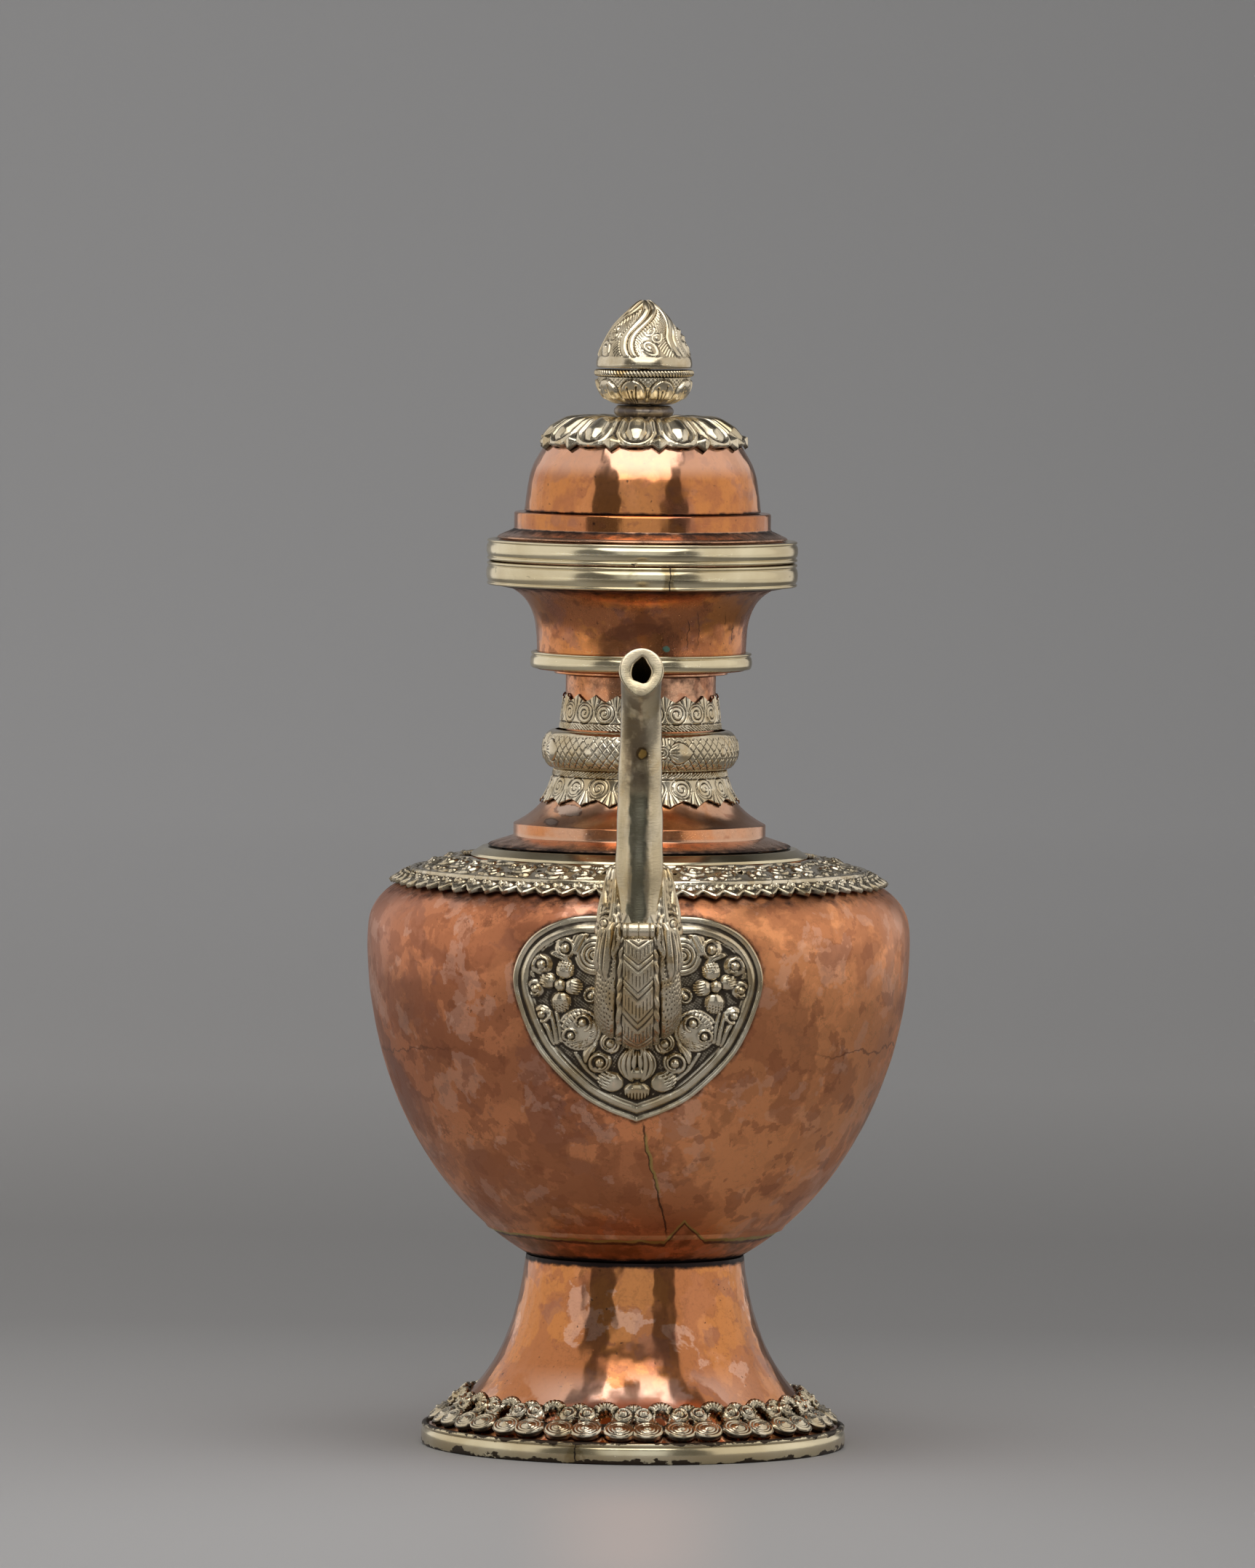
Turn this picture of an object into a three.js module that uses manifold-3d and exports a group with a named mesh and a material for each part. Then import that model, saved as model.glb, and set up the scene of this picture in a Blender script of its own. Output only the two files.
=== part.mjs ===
// A Tibetan ewer: a hammered copper vessel on a splayed foot, with a tiered neck, a flared cup mouth,
// a domed lid with a bud finial, a spout that rises from a sea-creature's jaws, and a loop handle.
// The copper pieces are raised sheet, soldered together and dressed with white-brass strip and chased sheet.
// Millimetres, +Z up, origin on the vessel's axis at the ground, spout towards -Y, handle towards +Y.
import * as THREE from "three";
import { mergeVertices } from "three/addons/utils/BufferGeometryUtils.js";
import Module from "manifold-3d";

const wasm = await Module();
wasm.setup();

// Driving dimensions shared by all pieces
const seam = 0.3; // clearance in every soldered or resting joint
const copperWall = 1.2;
const stripWall = 1.8; // white-brass strip at the rims
const trimWall = 1.1; // chased sheet
const overrun = 6; // how far a cutter runs past what it cuts

const foot = {
  height: 66.6,
  topRadius: 38.2,
  flareShare: 0.21, // of the sweep that is left at half height
  seatWidth: 5, // inturned edge that carries the body
  rimRadius: 74,
  rimHeight: 7.6,
  rimBead: 1.8,
  borderTopRadius: 54.2,
  borderUnits: 18,
  bossHeight: 1.7,
  crestHeight: 1.1, // swell of the fans in the crest
  loopWidth: 5.2, // lozenge opening under each fan
  sides: 28,
};

const belly = {
  radius: 94.9,
  lowerHeight: 108, // from the foot up to the widest line
  bowlShare: 0.856, // of the radius that is left halfway down the bowl
  crownHeight: 34, // from the widest line up to where the shoulder would close
  crownShare: 0.914, // of the crown's height that is reached halfway in
  dishHeight: 8.5, // base dish, up to its brazed seam
  opening: 34, // hole under the neck
  sides: 28,
};

const shoulderBorder = {
  rimInset: 8.3, // from the belly's widest line in to the leafy edge
  ringGap: 1.8, // from the ring under the neck out to the wavy edge
  lappets: 36,
  lappetDepth: 2.8,
  beadHeight: 1.4,
  ribHeight: 1.3,
  bossHeight: 1.9,
  waveDepth: 1.8, // of the wavy inner edge
  waveRise: 0.9, // how far its crests are raised
};

const neckRing = { innerRadius: 50, width: 8.7, lip: 3 };

const neckBase = {
  flangeRadius: 55,
  flangeRise: 3.6,
  stepRadius: 44,
  stepHeight: 4.3,
  coneHeight: 19.4,
  coneTopRadius: 29.2,
  flareShare: 0.2315,
  sides: 24,
};

const knop = { radius: 34.6, height: 13.9 };

const neckTube = { radius: 26.2, height: 32.3 };

const collar = {
  lappets: 20,
  lowerHeight: 11.6, // from the knop down to the lappet tips
  upperHeight: 12.2, // from the knop up to the lappet tips
  lappetDepth: 3.4,
  upperFlare: 1.4, // how far the upper collar stands out at its foot
};

const flange = { radius: 30.2, height: 1.3 };

const cup = {
  floorRadius: 36.5,
  height: 30.6,
  flareRadius: 45.5, // where the flare turns out into the lip
  flareShare: 0.114,
  lipRadius: 52.4,
  lipDrop: 1.3,
  bandRadius: 38.6,
  bandHeight: 5.8,
  bandBead: 1.4,
  rimRadius: 54.2,
  rimHeight: 8.2,
  rimWall: 3.2,
  rimBead: 1.7,
  sides: 28,
};

const lid = {
  bandHeight: 7.3,
  flangeRise: 3.6,
  stepRadius: 44.8,
  stepHeight: 6,
  ledgeWidth: 5, // inturned edge of the step, under the dome
  domeRadius: 41.2,
  domeHeight: 31.2,
  bezelDepth: 12,
  bezelPlay: 0.6, // running clearance of the bezel in the mouth
};

const lotus = {
  radius: 34.2, // of the dome under the notches between the petals
  petals: 14,
  relief: 1.6,
  tipReach: 0.8, // how much further down the dome the tips stand
};

const finial = {
  stemRadius: 2.4,
  collarRadius: 10.4,
  collarHeight: 4,
  neckRadius: 8,
  radius: 16.9,
  calyxHeight: 9.5,
  bandHeight: 2.4,
  bandProud: 0.5,
  budHeight: 24.2,
  stemReach: 14, // stem above the collar, inside the bud
  washerRadius: 7,
  washerHeight: 1.6,
  sides: 20,
};

const plate = {
  halfWidth: 43.2,
  drop: 4.9, // of the plate's widest part below the belly's
  top: 21, // both from the plate's widest part
  bottom: 51,
  wall: 1.8,
  mouldingWidth: 6,
  mouldingHeight: 1.5,
};

const spout = {
  tubeStandoff: 23.1, // from the belly's side out to the upright tube's axis
  tipLead: 19.5, // from there out to the middle of the tip
  tipHeight: 101.2, // above the widest line
  mouthHeight: 15.5, // above the widest line
  tubeRadius: 8.3,
  tubeTopRadius: 6.8,
  tipRadius: 7.7,
  tipHalfHeight: 7.5,
  boreRadius: 4.6,
  cutAngle: 15, // degrees above level that the tip's cut face looks
  lipKeel: 1.6, // point under the lip
  sides: 10,
};

const creature = {
  halfWidth: 14.8,
  halfDepth: 14.2,
  throatDrop: 12.8, // of the throat's axis below the widest line
  jawHeight: 34.5, // of the upper jaw's points above the widest line
  jawSeam: 10.6, // of the brazed seam between throat and jaws below the mouth
  throatWidth: 9,
  throatProud: 1.7,
  chinRadius: 4.4,
  eyeRadius: 3.3,
  sides: 12,
};

const handle = {
  standoff: 45.9, // from the belly's side out to the back of the loop
  halfWidth: 6.4,
  halfDepth: 5.2,
  rootShare: 1.5, // thickness of the ends against the loop's
  sides: 12,
};

const finishes = {
  copper: new THREE.MeshStandardMaterial({ color: 0xb86b43, roughness: 0.3, metalness: 1 }),
  brass: new THREE.MeshStandardMaterial({ color: 0xb9b08d, roughness: 0.3, metalness: 1 }),
  silver: new THREE.MeshStandardMaterial({ color: 0xbcb6a4, roughness: 0.35, metalness: 1 }),
  iron: new THREE.MeshStandardMaterial({ color: 0x6d6765, roughness: 0.45, metalness: 1 }),
};

// Geometry helpers

const degree = Math.PI / 180;
const turn = 2 * Math.PI;

// The share of a flare's sweep that is left after the share t of its height.
// halfwayShare is what is left at half height.
function flare(t, halfwayShare) {
  const falling = halfwayShare / (1 - halfwayShare);
  return (falling ** (2 * t) - falling ** 2) / (1 - falling ** 2);
}

function mix(a, b, share) {
  return a + (b - a) * share;
}

function mixPoints(a, b, share) {
  return a.map((value, n) => mix(value, b[n], share));
}

// Turns faces outward where a geometry came out inside out
function facingOut(geometry) {
  const p = geometry.attributes.position;
  const index = geometry.index.array;
  const [a, b, c] = [new THREE.Vector3(), new THREE.Vector3(), new THREE.Vector3()];
  let volume = 0;
  for (let i = 0; i < index.length; i += 3) {
    a.fromBufferAttribute(p, index[i]);
    b.fromBufferAttribute(p, index[i + 1]);
    c.fromBufferAttribute(p, index[i + 2]);
    volume += a.dot(b.cross(c));
  }
  if (volume < 0) {
    for (let i = 0; i < index.length; i += 3) [index[i + 1], index[i + 2]] = [index[i + 2], index[i + 1]];
  }
  return geometry;
}

function weld(geometry) {
  const bare = geometry.clone();
  bare.deleteAttribute("normal");
  bare.deleteAttribute("uv");
  return facingOut(mergeVertices(bare, 1e-4));
}

// Revolves a closed outline of [radius, height] points about the vertical axis
function revolve(outline, sides) {
  const points = outline.map(([r, z]) => new THREE.Vector2(r, z));
  if (outline.every(([r]) => r > 0)) points.push(points[0].clone());
  return weld(new THREE.LatheGeometry(points, sides).rotateX(Math.PI / 2));
}

// Offsets an open path of [radius, height] points to its left, keeping its corners sharp
function offsetPath(path, distance) {
  const normals = path.slice(1).map(([r, z], i) => {
    const [dr, dz] = [r - path[i][0], z - path[i][1]];
    const length = Math.hypot(dr, dz);
    return [-dz / length, dr / length];
  });
  return path.map(([r, z], i) => {
    const before = normals[Math.max(i - 1, 0)];
    const after = normals[Math.min(i, normals.length - 1)];
    const dot = before[0] * after[0] + before[1] * after[1];
    return [
      r + (distance * (before[0] + after[0])) / (1 + dot),
      z + (distance * (before[1] + after[1])) / (1 + dot),
    ];
  });
}

// Cuts a path whose radius falls steadily to the stretch between two radii
function pathBetween(path, outer, inner) {
  const heightAt = (radius) => {
    const i = path.findIndex(([r], k) => k > 0 && r <= radius && path[k - 1][0] >= radius);
    const [[r0, z0], [r1, z1]] = [path[i - 1], path[i]];
    return mix(z0, z1, (radius - r0) / (r1 - r0));
  };
  const within = path.filter(([r]) => r < outer && r > inner);
  return [[outer, heightAt(outer)], ...within, [inner, heightAt(inner)]];
}

// A closed surface through rows of points; rows wrap round, and so do the points in a row
function wrappedGrid(rows) {
  const across = rows[0].length;
  const index = [];
  rows.forEach((_, i) => {
    const j = (i + 1) % rows.length;
    for (let k = 0; k < across; k++) {
      const l = (k + 1) % across;
      const [a, b, c, d] = [i * across + k, i * across + l, j * across + l, j * across + k];
      index.push(a, b, c, a, c, d);
    }
  });
  const geometry = new THREE.BufferGeometry().setFromPoints(rows.flat());
  return facingOut(geometry.setIndex(index));
}

// A solid through rows of points, closed at both ends
function cappedGrid(rows) {
  const across = rows[0].length;
  const index = [];
  for (let i = 0; i + 1 < rows.length; i++) {
    for (let k = 0; k < across; k++) {
      const l = (k + 1) % across;
      const [a, b, c, d] = [i, i, i + 1, i + 1].map((row, n) => row * across + (n % 3 ? l : k));
      index.push(a, b, c, a, c, d);
    }
  }
  const points = rows.flat();
  for (const row of [0, rows.length - 1]) {
    const middle = rows[row].reduce((sum, p) => sum.add(p), new THREE.Vector3()).divideScalar(across);
    points.push(middle);
    for (let k = 0; k < across; k++) {
      const [a, b] = [row * across + k, row * across + ((k + 1) % across)];
      index.push(points.length - 1, row ? a : b, row ? b : a);
    }
  }
  const geometry = new THREE.BufferGeometry().setFromPoints(points);
  return facingOut(geometry.setIndex(index));
}

// A loop round the axis; place(step) gives the radius and height of each of its steps
function loopRound(steps, place) {
  return Array.from({ length: steps }, (_, i) => {
    const [r, z] = place(i);
    const a = (i / steps) * turn;
    return new THREE.Vector3(r * Math.sin(a), -r * Math.cos(a), z);
  });
}

// An oval ring square to a path in the YZ plane. side is -1 in front and 1 behind.
// angle is the path's rise above level; shape bends the oval, by the angle round it.
function ovalRing(side, station, sides, shape = () => 1) {
  const { reach, height, angle, halfWidth, halfDepth } = station;
  return Array.from({ length: sides }, (_, k) => {
    const a = (k / sides) * turn;
    const s = shape(a);
    const across = halfWidth * Math.sin(a) * s;
    const up = halfDepth * Math.cos(a) * s;
    const out = reach - up * Math.sin(angle * degree);
    return new THREE.Vector3(across, side * out, height + up * Math.cos(angle * degree));
  });
}

function solid(geometry) {
  const merged = geometry.index && !geometry.attributes.uv ? geometry : weld(geometry);
  return new wasm.Manifold(
    new wasm.Mesh({
      numProp: 3,
      vertProperties: new Float32Array(merged.attributes.position.array),
      triVerts: new Uint32Array(merged.index.array),
    }),
  );
}

function geometryOf(manifold) {
  const { vertProperties, triVerts } = manifold.getMesh();
  const geometry = new THREE.BufferGeometry();
  geometry.setAttribute("position", new THREE.BufferAttribute(vertProperties, 3));
  return geometry.setIndex(new THREE.BufferAttribute(triVerts, 1));
}

// Levels and paths of the raised copper, from the ground up

const footSkirt = foot.rimRadius - stripWall - seam;
const skirtTop = foot.rimHeight - foot.rimBead / 2;
const footShares = [0, 0.16, 0.38, 0.66, 1];
const footPath = [
  [footSkirt, 0],
  ...footShares.map((t) => [
    mix(foot.topRadius, footSkirt, flare(t, foot.flareShare)),
    mix(skirtTop, foot.height, t),
  ]),
];

const bodyBottom = foot.height + seam;
const widest = bodyBottom + belly.lowerHeight;
const bowlPower = Math.log(1 - belly.bowlShare ** 2) / Math.log(0.5);
const crownPower = Math.log(belly.crownShare) / Math.log(0.75);
const bottomShare = 1 - (foot.topRadius / belly.radius) ** 2;
const lowerAxis = belly.lowerHeight / bottomShare ** (1 / bowlPower);
const dishTop = bodyBottom + belly.dishHeight;

// The bowl's curve between two heights below the widest line
function bowlPath(from, to, steps) {
  const [a, b] = [from, to].map((height) => Math.asin((widest - height) / lowerAxis));
  return Array.from({ length: steps + 1 }, (_, i) => {
    const drop = Math.sin(mix(a, b, i / steps));
    return [belly.radius * Math.sqrt(1 - drop ** bowlPower), widest - lowerAxis * drop];
  });
}

const bowlSteps = 4;
const shoulderAngles = [9, 20, 35, 53];
const openingAngle = Math.acos(belly.opening / belly.radius) / degree;
const shoulderPath = [0, ...shoulderAngles, openingAngle].map((angle) => [
  belly.radius * Math.cos(angle * degree),
  widest + belly.crownHeight * Math.sin(angle * degree) ** (2 * crownPower),
]);
const bodyPath = [...bowlPath(dishTop + seam, widest, bowlSteps), ...shoulderPath.slice(1)];
const waistStep = bowlSteps - 1; // step of the path where bowl and shoulder are brazed together
const waist = bodyPath[waistStep][1];

function shoulderHeight(radius) {
  return pathBetween(shoulderPath, belly.radius, radius).at(-1)[1];
}

const ringRadius = neckRing.innerRadius + neckRing.width;
const ringSeat = shoulderHeight(neckRing.innerRadius) + seam;
const ringTop = ringSeat + neckRing.lip;
const flangeBottom = ringTop + seam;
const stepBottom = flangeBottom + neckBase.flangeRise;
const stepTop = stepBottom + neckBase.stepHeight;
const coneTop = stepTop + neckBase.coneHeight;
const coneShares = [0, 0.15, 0.35, 0.62, 1];
const conePath = coneShares.map((t) => [
  mix(neckBase.coneTopRadius, neckBase.stepRadius, flare(t, neckBase.flareShare)),
  mix(stepTop, coneTop, t),
]);
const tubeBottom = coneTop + seam;
const tubeTop = tubeBottom + neckTube.height;
const knopBottom = coneTop - seam;
const knopTop = knopBottom + knop.height;
const flangeTop = tubeTop + flange.height;
const cupBottom = flangeTop + seam;
const lipHeight = cupBottom + cup.height;
const bandBottom = cupBottom + copperWall / 2;
const rimBottom = lipHeight - copperWall;
const rimTop = rimBottom + cup.rimHeight;
const lidBottom = rimTop + seam;
const lidBandTop = lidBottom + lid.bandHeight;
const lidStep = lidBandTop + lid.flangeRise;
const stepLedge = lidStep + lid.stepHeight;
const domeBottom = stepLedge + seam;
const domeTop = domeBottom + lid.domeHeight;

// Pieces of the foot

function footShell() {
  const inner = offsetPath(footPath, copperWall).slice(0, -1).reverse();
  const seat = foot.topRadius - foot.seatWidth;
  const outline = [
    ...footPath,
    [seat, foot.height],
    [seat, foot.height - copperWall],
    [foot.topRadius - copperWall, foot.height - copperWall],
    ...inner,
  ];
  return revolve(outline, foot.sides);
}

// A rolled strip: a broad swelling with a bead at one edge and a groove between them
function stripOutline(outer, wall, bottom, height, bead, beadAtTop) {
  const [inner, groove] = [outer - wall, wall / 3];
  const main = height - bead;
  const rise = (share) => (beadAtTop ? bottom + share : bottom + height - share);
  return [
    [inner, rise(0)],
    [outer - groove, rise(0)],
    [outer, rise(main / 4)],
    [outer, rise((3 * main) / 4)],
    [outer - groove, rise(main)],
    [outer - groove / 4, rise(height - bead / 3)],
    [inner, rise(height)],
  ];
}

// Openwork band on the flare: two rows of paired scroll bosses, and a crest of fans over lozenge openings
function footScrollBorder() {
  const path = pathBetween(footPath.slice(1), footSkirt - stripWall, foot.borderTopRadius);
  const [under, over] = [seam, seam + trimWall].map((d) => offsetPath(path, -d));
  const bosses = offsetPath(over, -foot.bossHeight);
  const fans = offsetPath(over, -foot.crestHeight);
  const lowBoss = mixPoints(bosses[0], bosses[1], 0.4);
  const lowFlat = mixPoints(over[0], over[1], 0.4);
  const drawnIn = (points) => mixPoints(points[0], points[1], 0.22);
  const arched = (points) => mixPoints(points.at(-1), points.at(-2), 0.35);
  const edge = (points) => (i) => (i % 2 ? points[0] : drawnIn(points));
  const crest = (points) => (i) => (i % 4 === 2 ? points.at(-1) : arched(points));
  const rows = [
    edge(under),
    () => under[1],
    crest(under),
    crest(fans),
    (i) => (i % 2 ? bosses[1] : over[1]),
    (i) => (i % 2 ? lowBoss : lowFlat),
    edge(over),
  ];
  const band = wrappedGrid(rows.map((place) => loopRound(4 * foot.borderUnits, place)));
  const tilt = Math.atan2(over[0][0] - over[1][0], over[1][1] - over[0][1]);
  const holes = Array.from({ length: foot.borderUnits }, (_, n) => {
    const lozenge = new THREE.CylinderGeometry(foot.loopWidth / 2, foot.loopWidth / 2, 2 * overrun, 4);
    return solid(onSlope(lozenge, over[1], tilt, ((n + 0.5) / foot.borderUnits) * turn));
  });
  return geometryOf(solid(band).subtract(wasm.Manifold.union(holes)));
}

// Stands a shape whose axis is Y on a sloping surface at [radius, height], at an angle round the vessel
function onSlope(geometry, [radius, height], tilt, angle) {
  return geometry
    .rotateX(Math.PI / 2)
    .rotateX(tilt)
    .translate(0, -radius, height)
    .rotateZ(angle);
}

// Pieces of the body

function bodyBase() {
  const outer = bowlPath(bodyBottom, dishTop, 2);
  const inner = offsetPath(outer, copperWall).slice(1).reverse();
  const outline = [
    [0, bodyBottom],
    ...outer,
    ...inner,
    [foot.topRadius - copperWall, bodyBottom + copperWall],
    [0, bodyBottom + copperWall],
  ];
  return revolve(outline, belly.sides);
}

// The raised lower half of the body, up to its brazed waist
function bowlShell() {
  const outer = bodyPath.slice(0, waistStep + 1);
  const last = outer[waistStep];
  const before = outer[waistStep - 1];
  outer[waistStep] = mixPoints(last, before, seam / (last[1] - before[1]));
  const inner = offsetPath(outer, copperWall).reverse();
  inner[0][1] = outer[waistStep][1];
  return revolve([...outer, ...inner], belly.sides);
}

// The upper half, drawn in to the neck and bored for the spout
function shoulderShell() {
  const outer = bodyPath.slice(waistStep);
  const inner = offsetPath(outer, copperWall).reverse();
  inner[0] = [belly.opening, inner[0][1]];
  inner.at(-1)[1] = waist;
  const shell = solid(revolve([...outer, ...inner], belly.sides));
  return geometryOf(shell.subtract(solid(boreCutter())));
}

// A chased sheet on the shoulder: a leafy edge with beads, a smooth rib, scroll bosses, a wavy inner edge
function shoulderScrollBorder() {
  const { lappets, lappetDepth, waveDepth, waveRise } = shoulderBorder;
  const outerRadius = belly.radius - shoulderBorder.rimInset;
  const innerRadius = ringRadius + shoulderBorder.ringGap;
  const tips = pathBetween(shoulderPath, outerRadius, innerRadius);
  const notches = pathBetween(shoulderPath, outerRadius - lappetDepth, innerRadius + waveDepth);
  const leafy = (layer) => (i) => (i % 2 ? layer.tips[0] : layer.notches[0]);
  const wavy = (layer, rise) => (i) =>
    i % 4 > 1 ? raisedBy(layer.tips.at(-1), rise) : layer.notches.at(-1);
  const [under, over] = [seam, seam + trimWall].map((distance) => ({
    tips: offsetPath(tips, -distance),
    notches: offsetPath(notches, -distance),
  }));
  const middle = under.notches.slice(1, -1).map((point) => () => point);
  const rows = [leafy(under), ...middle, wavy(under, 0), wavy(over, waveRise)];
  return wrappedGrid(
    [...rows, ...shoulderChasing(over.notches), leafy(over)].map((place) => loopRound(2 * lappets, place)),
  );
}

// The raised rows between the wavy edge and the leafy edge. The rib runs along the bend of the sheet.
function shoulderChasing(path) {
  const { beadHeight, ribHeight, bossHeight } = shoulderBorder;
  const [leafEdge, bend, waveEdge] = [path[0], path[1], path.at(-1)];
  const raised = (point, high, low) => (i) => raisedBy(point, i % 2 ? high : low);
  return [
    raised(mixPoints(bend, waveEdge, 0.72), bossHeight / 2, bossHeight / 2),
    raised(mixPoints(bend, waveEdge, 0.42), bossHeight, bossHeight / 3),
    raised(mixPoints(bend, waveEdge, 0.14), bossHeight / 6, bossHeight / 6),
    raised(bend, ribHeight, ribHeight),
    raised(mixPoints(bend, leafEdge, 0.5), beadHeight, beadHeight / 3),
  ];
}

function raisedBy([radius, height], rise) {
  return [radius, height + rise];
}

// Pieces of the neck and the cup mouth

function neckBaseRing() {
  const { innerRadius, lip } = neckRing;
  const path = pathBetween(shoulderPath, ringRadius, innerRadius);
  const outline = [
    ...offsetPath(path, -seam),
    [innerRadius, ringTop],
    [mix(innerRadius, ringRadius, 0.55), ringTop],
    [ringRadius, shoulderHeight(ringRadius) + seam + lip / 2],
  ];
  return revolve(outline, belly.sides);
}

function neckBaseShell() {
  const outer = [
    [neckBase.flangeRadius, flangeBottom],
    [neckBase.stepRadius, stepBottom],
    ...conePath,
  ];
  const inner = offsetPath(outer, copperWall).slice(1).reverse();
  inner[0] = [neckBase.coneTopRadius - copperWall, coneTop];
  return revolve([...outer, ...inner, [neckBase.stepRadius, flangeBottom]], neckBase.sides);
}

function neckKnop() {
  const centre = (knopBottom + knopTop) / 2;
  const inner = neckBase.coneTopRadius + seam;
  const steps = 5;
  const bulge = Array.from({ length: steps + 1 }, (_, i) => {
    const a = mix(-0.5, 0.5, i / steps) * Math.PI;
    return [mix(inner + trimWall, knop.radius, Math.cos(a)), centre + (knop.height / 2) * Math.sin(a)];
  });
  return revolve([...bulge, [inner, knopTop], [inner, knopBottom]], neckBase.sides);
}

function neckTubeShell() {
  const [outer, inner] = [neckTube.radius, neckTube.radius - copperWall];
  const outline = [
    [inner, tubeBottom],
    [neckBase.coneTopRadius, tubeBottom],
    [neckBase.coneTopRadius, tubeBottom + copperWall],
    [outer, tubeBottom + copperWall],
    [outer, tubeTop],
    [inner, tubeTop],
  ];
  return revolve(outline, neckBase.sides);
}

// A collar of pointed lappets round the neck. The path runs from the tips to the plain edge at the knop.
function lappetCollar(path) {
  const rows = [seam, seam + trimWall].map((distance) => {
    const points = offsetPath(path, -distance);
    points.at(-1)[1] = path.at(-1)[1];
    const [tip, next] = points;
    const share = collar.lappetDepth / Math.abs(path[1][1] - path[0][1]);
    const notch = mixPoints(tip, next, share);
    return points.map((point, n) => (i) => (n || i % 2 ? point : notch));
  });
  return wrappedGrid(
    [...rows[0], ...rows[1].reverse()].map((place) => loopRound(2 * collar.lappets, place)),
  );
}

function lowerCollar() {
  const top = knopBottom - seam;
  const onCone = (height) => {
    const i = conePath.findIndex(([, z]) => z > height);
    const [[r0, z0], [r1, z1]] = [conePath[i - 1], conePath[i]];
    return [mix(r0, r1, (height - z0) / (z1 - z0)), height];
  };
  return lappetCollar([onCone(top - collar.lowerHeight), onCone(top)]);
}

function upperCollar() {
  const bottom = knopTop + seam;
  const tips = [neckTube.radius, bottom + collar.upperHeight];
  const plainEdge = [neckTube.radius + collar.upperFlare, bottom];
  return facingOut(lappetCollar([tips, plainEdge].map(([r, z]) => [r, -z])).scale(1, 1, -1));
}

function neckFlange() {
  const inner = neckTube.radius - copperWall;
  const outline = [
    [inner, tubeTop + seam],
    [flange.radius, tubeTop + seam],
    [flange.radius, flangeTop],
    [inner, flangeTop],
  ];
  return revolve(outline, neckBase.sides);
}

const cupShares = [1, 0.45, 0.15, 0];
const cupPath = [
  [cup.floorRadius, cupBottom],
  ...cupShares.map((t) => [
    mix(cup.floorRadius, cup.flareRadius, flare(t, cup.flareShare)),
    mix(rimBottom - cup.lipDrop, bandBottom + cup.bandHeight, t),
  ]),
  [cup.lipRadius, rimBottom],
];

function cupShell() {
  const inner = offsetPath(cupPath, copperWall).reverse().slice(0, -1);
  inner[0] = [cup.lipRadius, lipHeight];
  const hole = neckTube.radius - copperWall;
  const outline = [
    [hole, cupBottom],
    ...cupPath,
    ...inner,
    [cup.floorRadius - copperWall, cupBottom + copperWall],
    [hole, cupBottom + copperWall],
  ];
  return revolve(outline, cup.sides);
}

function cupBaseBand() {
  const wall = cup.bandRadius - cup.floorRadius - seam;
  return revolve(
    stripOutline(cup.bandRadius, wall, bandBottom, cup.bandHeight, cup.bandBead, true),
    cup.sides,
  );
}

function cupRimBand() {
  const inner = cup.rimRadius - cup.rimWall;
  const strip = stripOutline(cup.rimRadius, cup.rimWall, rimBottom, cup.rimHeight, cup.rimBead, true);
  const ledge = cup.lipRadius + seam;
  const outline = [
    [inner, rimTop],
    [inner, lipHeight + seam],
    [ledge, lipHeight + seam],
    [ledge, rimBottom],
    ...strip.slice(1, -1),
  ];
  return revolve(outline, cup.sides);
}

// Pieces of the lid

const domeShares = [
  // of the dome's radius and height
  [1, 0],
  [0.957, 0.42],
  [0.9, 0.6],
  [0.79, 0.81],
  [0.6, 1],
];
const domePath = domeShares.map(([r, z]) => [lid.domeRadius * r, domeBottom + lid.domeHeight * z]);

function lidStepShell() {
  const inner = lid.stepRadius - copperWall;
  const ledge = lid.domeRadius - lid.ledgeWidth;
  return revolve(
    [
      [cup.lipRadius, lidBandTop + seam],
      [lid.stepRadius, lidStep],
      [lid.stepRadius, stepLedge],
      [ledge, stepLedge],
      [ledge, stepLedge - copperWall],
      [inner, stepLedge - copperWall],
      [inner, lidBandTop + seam],
    ],
    cup.sides,
  );
}

function lidDome() {
  const hole = finial.stemRadius + seam;
  const outer = [...domePath, [hole, domeTop]];
  const inner = offsetPath(outer, copperWall).slice(1, -1).reverse();
  return revolve(
    [...outer, [hole, domeTop - copperWall], ...inner, [lid.domeRadius - copperWall, domeBottom]],
    cup.sides,
  );
}

function lidRimBand() {
  return revolve(
    stripOutline(cup.rimRadius, cup.rimWall, lidBottom, lid.bandHeight, cup.rimBead, false),
    cup.sides,
  );
}

// The ring inside the lid that drops into the mouth and keeps the lid centred
function lidBezel() {
  const outer = cup.rimRadius - cup.rimWall - lid.bezelPlay;
  const inner = outer - copperWall;
  const outline = [
    [inner, lidBandTop - lid.bezelDepth],
    [outer, lidBandTop - lid.bezelDepth],
    [outer, lidBandTop],
    [inner, lidBandTop],
  ];
  return revolve(outline, cup.sides);
}

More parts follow.
